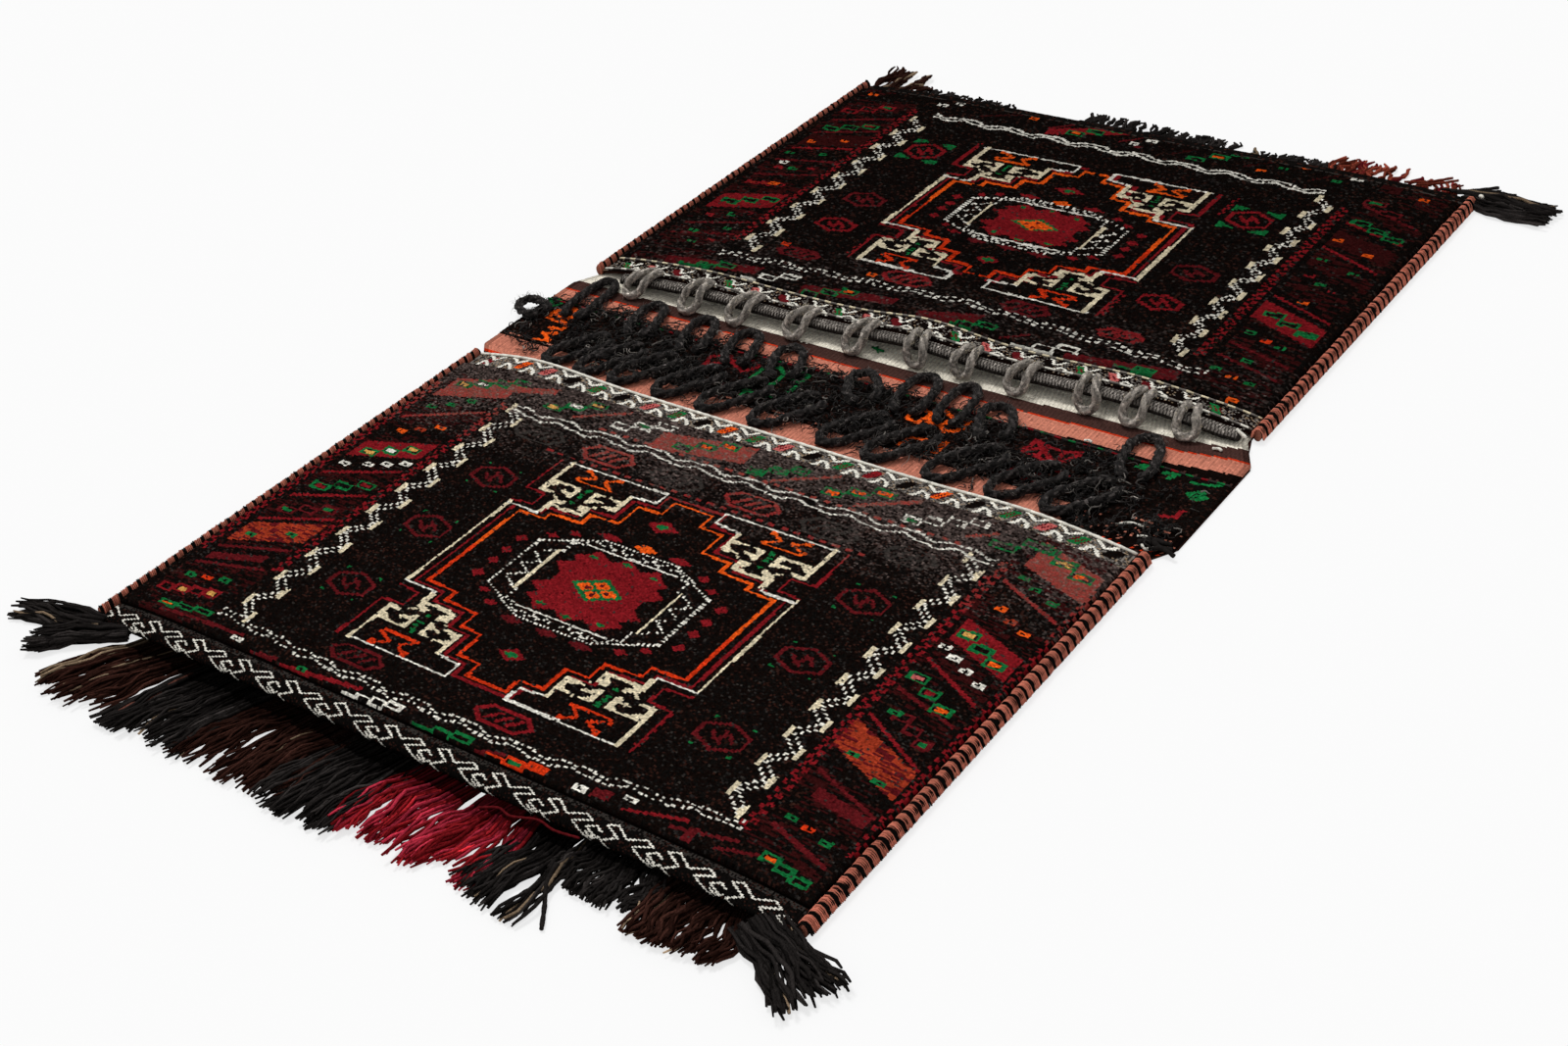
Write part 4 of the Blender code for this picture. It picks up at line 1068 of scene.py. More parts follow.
@dataclass(frozen=True)
class PileFace:
    """The knotted pile of one pouch."""

    pouch: Pouch
    design: FaceDesign
    seed: int
    knot: tuple[float, float] = (0.00170, 0.00138)
    wear_and_sheen: float = 0.0         # how much of the pile by the mouth is paled: partly wear, partly painted sheen where light glances off the face's slope
    depth: float = 1.0        # share of the dyes' light that the pile gives back
    wear_and_sheen_reach: float = 0.062     # how far from the mouth the worn and sheen-painted pile goes
    faint_reach: float = 0.105     # how far it is a little worn and a little painted with sheen
    flecks: float = 0.02      # share of grey knots

    def skin(self) -> Skin:
        """The knots, from the mouth's band to the fold's band."""
        start, end = STRIP.mouth_band, self.pouch.length - STRIP.bottom_band
        along = spaced(start, end, self.knot[1])[::self.pouch.direction]
        across = spaced(-STRIP.half, STRIP.half, self.knot[0])
        return Skin(face_surface(self.pouch), across, along, STRIP.face_weave + STRIP.pile,
                    STRIP.face_weave - SKIN_DEPTH, 0.00035, 0.0022, self.seed)

    def build(self) -> bpy.types.Object:
        """Makes the pile: the design on a mottled dark ground, with grey flecks, and by the mouth knots paled partly
        as wear and partly as painted sheen.
        """
        skin = self.skin()
        chart = skin.chart(Dye.GROUND)
        self.design.draw(chart)
        rng = np.random.default_rng(self.seed + 50)
        ground = chart.cells == NUMBER[Dye.GROUND]
        patch = 0.5 + 0.5 * np.sin(chart.along / 9 + 2 * np.sin(chart.across / 31)) * np.sin(chart.across / 17)
        chart.colour(Dye.BROWN, ground & (rng.random(chart.cells.shape) < 0.06 + 0.16 * patch))
        chart.colour(Dye.SOOT, ground & (rng.random(chart.cells.shape) < 0.14 * (1 - patch)))
        chart.colour(Dye.BLACK, ground & (rng.random(chart.cells.shape) < 0.35))
        colours = uneven(chart, self.seed, 0.20)
        colours[rng.random(chart.cells.shape) < self.flecks] = Dye.DARK_GREY.linear
        if self.wear_and_sheen:
            crimson = chart.cells == NUMBER[Dye.CRIMSON]
            colours = self.wear_and_sheen_colours(colours, skin.across[:-1], ground, crimson, rng)
        return skin.piece(f"{self.pouch.name}_pile", colours * self.depth, PILE_WOOL, Dye.GROUND)

    def wear_and_sheen_colours(self, colours: np.ndarray, x: np.ndarray, ground: np.ndarray, crimson: np.ndarray,
              rng: np.random.Generator) -> np.ndarray:
        """Colours as worn, with painted sheen: knots fade to grey more and more densely towards the mouth, and crimson
        pales; the paling stands partly for wear and partly for light glancing off the face's slope by the mouth.

        Args:
            colours: (rows, columns, 3) linear colours.
            x: the columns' places.
            ground: where the knots are the ground's, which are paled more.
            crimson: where they are crimson.
            rng: for the wear and painted sheen.

        Returns:
            The new colours.
        """
        shape = colours.shape[:2]
        away = np.linspace(0, 1, shape[0])[:, None] * self.pouch.length
        away = self.pouch.length - away if self.pouch.direction < 0 else away
        patchy = 0.012 * np.sin(x * 31)[None] + 0.010 * np.sin(x * 83 + 1)[None]
        share = self.wear_and_sheen * np.clip(1.35 - (away + patchy) / self.wear_and_sheen_reach, 0, 1)
        share = share + 0.20 * self.wear_and_sheen * (away < self.faint_reach)
        rows = np.repeat(rng.random((shape[0], shape[1] // 2 + 1)), 2, axis=1)[:, :shape[1]]
        share = share * np.where(ground, 1.0, 0.66)
        chance = 0.5 * rows + 0.5 * rng.random(shape)
        grey = np.clip((0.12 + 0.62 * share - chance) / 0.40 + 0.5, 0, 1) * (share > 0.02)
        # the pale grey stands for worn wool and for painted sheen off the slope by the mouth
        bare = 0.70 * Dye.GREY.linear + 0.30 * Dye.MADDER.linear
        pale = bare * (0.22 + 0.85 * rng.random(shape) ** 2)[..., None]
        colours = colours + (pale - colours) * grey[..., None]
        tint = 0.18 * np.clip(share * 4, 0, 1) * crimson
        return colours + (Dye.SALMON.linear - colours) * tint[..., None]


@dataclass(frozen=True)
class MouthBand:
    """The flat-woven band between a pouch's mouth and its pile, with lozenges between white hooks."""

    pouch: Pouch
    lozenges: tuple[tuple[float, Dye], ...]
    hooks: tuple[float, ...]
    seed: int
    grey: float = 0.55        # share of grey among its ground's cells
    ground: Dye = Dye.DARK_GREY
    stroke: float = 1.75      # width of the white hooks, in cells
    knot: tuple[float, float] = (0.00145, 0.00105)

    def build(self) -> bpy.types.Object:
        """Makes the band."""
        along = spaced(0.0, STRIP.mouth_band - 0.0002, self.knot[1])
        skin = band_skin(self.pouch, face_surface(self.pouch), along, self.knot[0], self.seed)
        chart = skin.chart(self.ground)
        points = skin.middles()
        chart.across = points[..., 0] * 1000 + 310
        chart.along = np.abs(points[..., 1] - self.pouch.y(points[..., 0], 0.0)) * 1000
        chart.knot = (self.knot[0] * 1000, self.knot[1] * 1000)
        rng = np.random.default_rng(self.seed)
        inward = 1 - 0.045 * np.abs(chart.along - 10.5)
        chart.colour(Dye.GREY, rng.random(chart.cells.shape) < self.grey * inward)
        chart.colour(Dye.TAN, rng.random(chart.cells.shape) < 0.22 * self.grey)
        for x, dye in self.lozenges:
            ring = [(-6.5, -5), (-4.5, 1), (1, 5.4), (6.5, 5), (4.5, -1), (-1, -5.4)]
            chart.field(dye, placed([(u, -v) for u, v in ring], (x, 10.5), (1.0, 1.0)))
            for u in (-3.6, 0.2, 4.0):
                chart.line(Dye.MADDER if dye != K else Dye.BLACK, [(x + u - 2, 13), (x + u + 2, 8)], 0.8)
        for x in self.hooks:
            upper = [(-8, 3.0), (-4.5, 4.6), (0, 8.8), (5, 5.6), (8.0, 2.2)]
            lower = [(-14, 18.2), (-11.5, 17.2), (-8.5, 10.8), (-3.5, 13.2), (-0.5, 17.6)]
            for shape in (upper, lower):
                chart.line(Dye.BLACK, [(x + u, s + 1.3) for u, s in shape], 1.3)
                chart.line(Dye.WHITE, [(x + u, s) for u, s in shape], self.stroke)
        colours = uneven(chart, self.seed, 0.16)
        return skin.piece(f"{self.pouch.name}_mouth_band", colours, WOVEN_WOOL, Dye.GROUND)


@dataclass(frozen=True)
class FoldBand:
    """The ribbed flat-woven band along a fold, carried round it to the fringe."""

    pouch: Pouch
    figures: tuple[float, ...]
    seed: int
    shown: float = 20.0       # how far from its start the band keeps its full colour, in millimetres; past it the band is darkened as painted shade under the fold
    turn: float = 118.0       # how far round the fold it goes, in degrees
    arc: float = 0.0170       # length of that way
    knot: tuple[float, float] = (0.00160, 0.00125)

    def surface(self, x: np.ndarray, distance: np.ndarray, lift: np.ndarray) -> np.ndarray:
        """The face's surface, and past the fold's start an ellipse round its middle height."""
        start = self.pouch.length - STRIP.fold_reach
        flat = face_surface(self.pouch)(x, np.minimum(distance, start), lift)
        turn = np.radians(np.clip((distance - start) / self.arc, 0, 1) * self.turn)
        half = self.pouch.fold_height(x)
        y = self.pouch.mouth + self.pouch.direction * start
        y = y + self.pouch.direction * (STRIP.fold_reach - STRIP.face_weave + lift) * np.sin(turn)
        z = half + (half - STRIP.face_weave + lift) * np.cos(turn)
        round_it = np.stack([x, y + np.zeros_like(x), z], -1)
        return np.where((distance > start)[..., None], round_it, flat)

    def build(self) -> bpy.types.Object:
        """Makes the band."""
        start = self.pouch.length - STRIP.bottom_band
        end = self.pouch.length - STRIP.fold_reach + self.arc
        along = np.linspace(start + 0.0002, end, round((end - start) / self.knot[1]) + 1)
        skin = band_skin(self.pouch, self.surface, along, self.knot[0], self.seed)
        chart = skin.chart(Dye.BLACK)
        x, s = np.meshgrid((skin.across[:-1] + skin.across[1:]) / 2, (along[:-1] + along[1:]) / 2)
        chart.across = x * 1000 + 310
        chart.along = ((s if self.pouch.direction > 0 else s[::-1]) - start) * 1000
        chart.knot = (self.knot[0] * 1000, self.knot[1] * 1000)
        rng = np.random.default_rng(self.seed)
        chart.colour(Dye.DARK_GREY, (chart.along < 5) & (rng.random(chart.cells.shape) < 0.55))
        chart.colour(Dye.BROWN, rng.random(chart.cells.shape) < 0.12)
        for place in self.figures:
            for points in (
                [(0, 8), (6.5, 5), (18, 12), (29.5, 6.5), (36, 9.5), (24, 14.5), (35, 20), (41, 23)],
                [(0, 8), (12, 13.5), (2, 19), (9, 23)],
                [(35.5, 14.5), (41.5, 11.5), (46.5, 14)],
                [(35.5, 14.5), (43, 18), (38, 20.5)],
                [(-10, 17.5), (-5, 20.5), (0.5, 17.5)],
            ):
                chart.line(Dye.WHITE, [(place + u, s) for u, s in points], 1.0)
        chart.line(Dye.BLACK, [(0, 0.8), (620, 0.8)], 1.6)
        shown = uneven(chart, self.seed, 0.16)
        # painted shade: past that reach the band darkens towards black where it turns under the fold
        shown *= np.clip(1 - (chart.along - self.shown) / 5, 0.08, 1)[..., None]
        return skin.piece(f"{self.pouch.name}_fold_band", shown, WOVEN_WOOL, Dye.BLACK)


def bridge_half(y: np.ndarray) -> np.ndarray:
    """Half the bridge's width: the strip spreads from the pouches' width to the bridge's past each mouth."""
    near, far = STRIP.near_bare / 2, STRIP.far_bare / 2
    near_share = (y - STRIP.near_mouth) / near
    far_share = (STRIP.far_mouth - y) / far
    share = np.clip(np.minimum(near_share, far_share), 0, 1)
    return STRIP.half + (STRIP.half_bridge - STRIP.half) * share


def bridge_surface(share: np.ndarray, y: np.ndarray, lift: np.ndarray) -> np.ndarray:
    """The bridge, flat on the floor: X is a share of its half width at that Y."""
    return np.stack([share * bridge_half(y), y, lift], -1)


@dataclass(frozen=True)
class Bridge:
    """The flat-woven bridge between the pouches: its raised panel and the stripes on both sides of it."""

    rib: float = 0.0018
    dark_from: float = 0.229   # X from which the near stripes are worn dark
    beat: float = 0.0018
    knot: tuple[float, float] = (0.0019, 0.0015)
    bend: tuple[tuple[float, float], ...] = (      # at an X, how far the stripes run up to the far pouch
        (0.03, 0.0), (0.13, 0.0025), (0.178, 0.0045), (0.231, 0.0060), (0.260, 0.0075), (0.301, 0.0145),
    )
    stripes: tuple[tuple[float, Dye], ...] = (
        (-0.0610, Dye.STRIPE_BROWN), (-0.0575, Dye.EMBER), (-0.0330, Dye.SALMON), (0.0330, Dye.GROUND),
        (0.0498, Dye.SALMON), (0.0515, Dye.EMBER), (0.0655, Dye.STRIPE_BROWN), (0.1200, Dye.STRIPE_CREAM),
    )
    strokes: tuple[tuple[Dye, tuple[tuple[tuple[float, float], ...], ...]], ...] = (
        (O, (
            ((-297, 13), (-285, 25), (-274, 15), (-282, 5), (-297, 13), (-295, 2), (-272, 0), (-282, 5)),
            ((-272, 0), (-270, -8), (-282, -9), (-270, -16), (-281, -19), (-268, -27), (-281, -30)),
        )),
        (C, (
            ((-126, -4), (-128, 13), (-115, 20), (-109, 13), (-119, 5), (-126, -4)),
            ((-109, 13), (-93, 22), (-84, 17), (-90, 4), (-109, 13)),
            ((-107, -28), (-108, -17), (-96, -15), (-88, -23), (-96, -30), (-87, -33)),
        )),
        (G, (
            ((-78, -1), (-79, 16), (-68, 23), (-58, 16), (-57, 0), (-78, -1)),
            ((-58, 16), (-53, 26), (-38, 23), (-38, 10), (-58, 16)), ((-38, 10), (-40, -3)),
            ((-44, -26), (-31, -26)), ((-70, -26), (-73, -15), (-63, -18), (-49, -15), (-70, -26)),
            ((-313, 23), (-306, 30), (-301, 26), (-306, 19), (-313, 23)),
        )),
        (O, (
            ((63, 6), (64, 23), (77, 19), (75, 3), (63, 6)),
            ((77, 19), (85, 27), (96, 20), (92, 8), (81, 8), (77, 19)),
            ((96, 20), (109, 23), (108, 8), (100, 2), (92, 8)), ((71, -22), (80, -11)),
            ((79, -28), (82, -16), (93, -13)), ((97, -28), (110, -24), (109, -9), (103, -19)),
        )),
        (C, (
            ((164, 6), (167, 23), (180, 19), (176, 4), (164, 6), (180, 19)),
            ((176, 4), (193, 1), (192, 18), (180, 19)), ((167, 23), (193, 1)),
            ((192, 18), (205, 23), (200, 11), (193, 1)), ((167, -24), (174, -15), (174, -28)),
            ((183, -24), (191, -14), (206, -26), (188, -25)), ((200, -5), (209, -8), (207, -15)),
        )),
        (G, (
            ((248, 24), (253, 31), (256, 25), (248, 24)), ((268, 26), (278, 30), (274, 21)),
            ((295, 11), (302, 17), (309, 11), (302, 6), (295, 11), (309, 11)),
            ((292, 24), (305, 27), (311, 31)),
        )),
        (C, (
            ((289, -22), (301, -18), (302, -9)),
        )),
    )

    def build(self) -> list[bpy.types.Object]:
        """Makes the panel and both groups of stripes."""
        half = STRIP.panel / 2
        near = self.build_stripes("near_stripes", STRIP.near_mouth - 0.010, -half - 0.0002, 21)
        far = self.build_stripes("far_stripes", half + 0.0002, STRIP.far_mouth + 0.014, 22)
        return [self.build_panel(), near, far]

    def build_stripes(self, name: str, low: float, high: float, seed: int) -> bpy.types.Object:
        """One group of stripes; a stripe's place is Y less the bend, and every other rib is painted a little darker as
        shade between the ribs.
        """
        columns = round(2 * STRIP.half_bridge / self.rib)
        across = np.linspace(-1, 1, columns + 1)
        along = spaced(low, high, self.beat)
        skin = Skin(bridge_surface, across, along, STRIP.back, STRIP.back - SKIN_DEPTH, 0.00008, 0.0002, seed)
        points = skin.middles()
        x, y = points[..., 0], points[..., 1]
        rng = np.random.default_rng(seed)
        wander = np.convolve(rng.normal(0, 1, x.shape[1] + 24), np.ones(25) / 25, "valid")[None]
        place = y - np.interp(x, *np.array(self.bend).T) * (y > 0) + 0.0016 * wander
        chart = skin.chart(Dye.STRIPE_CREAM)
        for edge, dye in reversed(self.stripes):
            chart.colour(dye, place < edge)
        rough = rng.random(x.shape) < 0.75 * np.clip(1 - np.abs(y - 0.0335) / 0.0035, 0, 1)
        chart.colour(Dye.STRIPE_BROWN, rough)
        dark = (y < 0) & (x > self.dark_from + 0.002 * np.sin(y * 900))
        chart.colour(Dye.GROUND, dark & (rng.random(x.shape) < 0.92))
        colours = uneven(chart, seed, 0.11, 0.05)
        # painted shade: every other column is darker, for the shade in the grooves between ribs
        colours[:, ::2] *= 0.84
        side = np.abs(skin.across[:-1] + skin.across[1:]) / 2 > 0.985
        colours[:, side] *= 0.6
        return skin.piece(name, colours, WOVEN_WOOL, Dye.BROWN)

    def build_panel(self) -> bpy.types.Object:
        """The panel's knots, with motifs that show between the loops."""
        half = STRIP.panel / 2
        columns = round(2 * STRIP.half_bridge / self.knot[0])
        across = np.linspace(-1, 1, columns + 1)
        along = spaced(-half, half, self.knot[1])
        top = STRIP.back + STRIP.panel_rise
        skin = Skin(bridge_surface, across, along, top, STRIP.back - SKIN_DEPTH, 0.0002, 0.0010, 23)
        chart = skin.chart(Dye.GROUND)
        points = skin.middles()
        chart.across, chart.along = points[..., 0] * 1000, points[..., 1] * 1000
        rng = np.random.default_rng(23)
        chart.colour(Dye.BLACK, rng.random(chart.cells.shape) < 0.4)
        chart.colour(Dye.BROWN, rng.random(chart.cells.shape) < 0.15)
        for dye, lines in self.strokes:
            for points in lines:
                chart.line(dye, list(points), 2.0)
        for x in range(-310, 320, 45):
            chart.line(Dye.SALMON, [(x, -31), (x + 16, -31)], 1.0)
        return skin.piece("bridge_panel", uneven(chart, 23, 0.2), PILE_WOOL, Dye.GROUND)


@dataclass(frozen=True)
class Foundation:
    """The woven strip under the pile and bands: both faces, both folds, and the back with the bridge."""

    sunk: float = 0.0012      # how far its upper side lies below the skins' upper sides
    columns: int = 40
    fold_steps: int = 12
    spacing: float = 0.018
    flat: tuple[float, float] = (0.620, 1.800)

    def face_rows(self, pouch: Pouch, x: np.ndarray) -> list[np.ndarray]:
        """Rows of outer and inner points from the mouth round the fold."""
        last = pouch.length - STRIP.fold_reach
        rows = []
        for distance in spaced(0.0003, last, self.spacing):
            y, inner = pouch.y(x, distance), pouch.underside(x, distance)
            rows.append(np.stack([np.c_[x, y, inner + STRIP.face_weave - self.sunk], np.c_[x, y, inner]]))
        inner = pouch.underside(x, last)
        outer = inner + STRIP.face_weave
        for turn in np.linspace(0, math.pi, self.fold_steps + 1)[1:-1]:
            sunk = self.sunk * math.sin(turn)
            y_out, y_in = (np.full_like(x, pouch.mouth + pouch.direction * (last + reach * math.sin(turn)))
                           for reach in (STRIP.fold_reach - sunk, STRIP.fold_reach - STRIP.face_weave))
            z_out = (outer - self.sunk) / 2 * (1 + math.cos(turn))
            z_in = (inner + STRIP.back) / 2 + (inner - STRIP.back) / 2 * math.cos(turn)
            rows.append(np.stack([np.c_[x, y_out, z_out], np.c_[x, y_in, z_in]]))
        return rows

    def back_rows(self, share: np.ndarray) -> list[np.ndarray]:
        """Rows of the back, flat on the floor, thinner where the bridge's skins lie on it."""
        low, high = NEAR.end + STRIP.fold_reach, FAR.end - STRIP.fold_reach
        rows = []
        for y in spaced(low, high, self.spacing):
            x = share * bridge_half(y)
            bare = STRIP.near_mouth - 0.011 < y < STRIP.far_mouth + 0.015
            top = STRIP.back - self.sunk if bare else STRIP.back
            flat = np.full_like(x, y)
            rows.append(np.stack([np.c_[x, flat, np.zeros_like(x)], np.c_[x, flat, np.full_like(x, top)]]))
        return rows

    def build(self, skins: list[bpy.types.Object]) -> bpy.types.Object:
        """Makes the strip as one closed sheet: the rows' outer side, inner side, sides and two mouths."""
        share = np.sin(np.linspace(-math.pi / 2, math.pi / 2, self.columns + 1))
        x = share * STRIP.half
        rows = self.face_rows(NEAR, x) + self.back_rows(share) + self.face_rows(FAR, x)[::-1]
        points = np.array(rows).transpose(1, 0, 2, 3)
        count, across = points.shape[1:3]
        number = np.arange(points[..., 0].size).reshape(2, count, across)
        sheets = []
        for side, grid in enumerate(number):
            a, b, c, d = grid[:-1, :-1], grid[:-1, 1:], grid[1:, 1:], grid[1:, :-1]
            ring = (a, b, c, d) if side == 1 else (a, d, c, b)
            sheets.append(np.stack(ring, -1).reshape(-1, 4))
        outer, inner = number
        left = np.stack([outer[:-1, 0], inner[:-1, 0], inner[1:, 0], outer[1:, 0]], -1)
        right = np.stack([outer[:-1, -1], outer[1:, -1], inner[1:, -1], inner[:-1, -1]], -1)
        first = np.stack([outer[0, :-1], outer[0, 1:], inner[0, 1:], inner[0, :-1]], -1)
        last = np.stack([outer[-1, :-1], inner[-1, :-1], inner[-1, 1:], outer[-1, 1:]], -1)
        faces = np.concatenate([*sheets, left, right, first, last])
        flat = points.reshape(-1, 3)
        parts = (flat, [faces], self.colours(flat[faces].mean(1)))
        made = piece_of("woven_strip_cloth", parts, WOVEN_WOOL, "woven_wool", ("woven_strip",))
        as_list(skins)
        return made

    @staticmethod
    def colours(places: np.ndarray) -> np.ndarray:
        """Dark wool, with plain bands of the same dyes across the underside."""
        shades = np.tile(Dye.BROWN.linear, (len(places), 1))
        for low, high, dye in ((-0.36, -0.33, Dye.MADDER), (-0.30, -0.29, Dye.RUST), (-0.20, -0.17, Dye.MADDER),
                               (0.20, 0.23, Dye.MADDER), (0.30, 0.31, Dye.RUST), (0.37, 0.40, Dye.MADDER)):
            shades[(places[:, 1] > low) & (places[:, 1] < high) & (places[:, 2] < 0.0015)] = dye.linear
        return shades


def through(points: list[tuple[float, float, float]], spacing: float, steps: int = 12) -> np.ndarray:
    """Points evenly spaced along the smooth curve through the given ones, a cubic from each to the next.

    Args:
        points: what the curve runs through.
        spacing: distance between the points given back.
        steps: fine steps from one given point to the next.

    Returns:
        The places, one to a row.
    """
    points = np.array(points, float)
    padded = np.concatenate([[2 * points[0] - points[1]], points, [2 * points[-1] - points[-2]]])
    a, b, c, d = padded[:-3, None], padded[1:-2, None], padded[2:-1, None], padded[3:, None]
    t = np.linspace(0, 1, steps, endpoint=False)[None, :, None]
    bend = (2 * a - 5 * b + 4 * c - d) * t * t + (3 * b - a - 3 * c + d) * t ** 3
    fine = (0.5 * (2 * b + (c - a) * t + bend)).reshape(-1, 3)
    fine = np.concatenate([fine, points[-1:]])
    gone = np.concatenate([[0.0], np.cumsum(np.linalg.norm(np.diff(fine, axis=0), axis=1))])
    at = np.linspace(0.0, gone[-1], max(6, round(gone[-1] / spacing) + 1))
    return np.stack([np.interp(at, gone, fine[:, k]) for k in range(3)], 1)


def loop_route(axis: np.ndarray, half_width: float, outline: tuple, spacing: float) -> np.ndarray:
    """A loop's route: out along one side of its axis, round the tip and back along the other side."""
    along = np.linspace(0, 1, len(axis))
    run = axis[-1] - axis[0]
    sideways = np.array([-run[1], run[0], 0.0]) / math.hypot(run[0], run[1])
    shares = np.array(outline)
    middle = np.stack([np.interp(shares[:, 0], along, axis[:, k]) for k in range(3)], 1)
    away = sideways * shares[:, 1:] * half_width
    return through([*(middle + away), axis[-1], *(middle - away)[::-1]], spacing)


def length_of(route: np.ndarray) -> float:
    """The length of a route."""
    return float(np.linalg.norm(np.diff(route, axis=0), axis=1).sum())


@dataclass(frozen=True)
class Roll:
    """The woven band rolled and sewn along the far mouth."""

    width: float = 0.014
    height: float = 0.009
    drop: float = 0.0005
    left_short: float = 0.030
    right_short: float = 0.006
    sides: int = 20
    spacing: float = 0.0009
    pitch: float = 0.0027      # of its stitches
    row: float = 72            # degrees round the section for two rows of stitches
    slant: float = 0.000085    # shift of a stitch per degree round the section

    def middle(self, x: np.ndarray) -> tuple[np.ndarray, np.ndarray]:
        """Y and height of its middle line, which rests on the back at its ends."""
        y = FAR.y(x, 0.0) - CLEAR - self.width / 2
        z = np.maximum(FAR.underside(x, 0.0) - self.drop, STRIP.back + CLEAR + self.height / 2)
        return y, z

    def build(self) -> bpy.types.Object:
        """Makes the roll, with rows of small slanting stitches, each row slanting against the next.

        The section is an ellipse. A stitch's shade follows a wave of X less its way round from the nearest fold
        between two rows. The roll's underside is painted dark as shade.
        """
        left, right = self.left_short - STRIP.half, STRIP.half - self.right_short
        x = spaced(left, right, self.spacing)
        y, z = self.middle(x)
        path = np.stack([x, y, z], 1)[None]
        turn = np.arange(self.sides) * 2 * math.pi / self.sides
        over = np.degrees(turn)
        fold = np.abs((over - 100 + self.row / 2) % self.row - self.row / 2)
        phase = (x[:, None] - self.slant * fold[None]) / self.pitch
        ridge = np.abs(np.sin(math.pi * phase))
        radii = (self.width / 2 - 0.0006) * (0.95 + 0.05 * ridge - 0.02 * np.exp(-(fold[None] / 9) ** 2))
        points, groups = tubes(path, radii[None], self.sides, flat=self.height / self.width)
        cell = (phase[:-1] + phase[1:]) / 2
        upper = (over > 10) & (over < 190)
        light = (cell % 1 < 0.55) & upper[None]
        rng = np.random.default_rng(31)
        shade = np.where(light[..., None], Dye.GREY.linear * 1.05, Dye.DARK_GREY.linear * 0.9)
        # painted shade: the underside, below the stitched upper side, is a darker grey
        shade = np.where(upper[None, :, None], shade, Dye.DARK_GREY.linear * 0.6)
        shade = shade * np.exp(0.45 * rng.normal(0, 1, cell.shape))[..., None]
        shade = np.concatenate([shade.reshape(-1, 3), np.tile(Dye.DARK_GREY.linear, (2, 1))])
        return piece_of("mouth_roll", (points, groups, shade), STITCH_WOOL, "binding_wool", ("far_mouth_roll",))


ROLL = Roll()


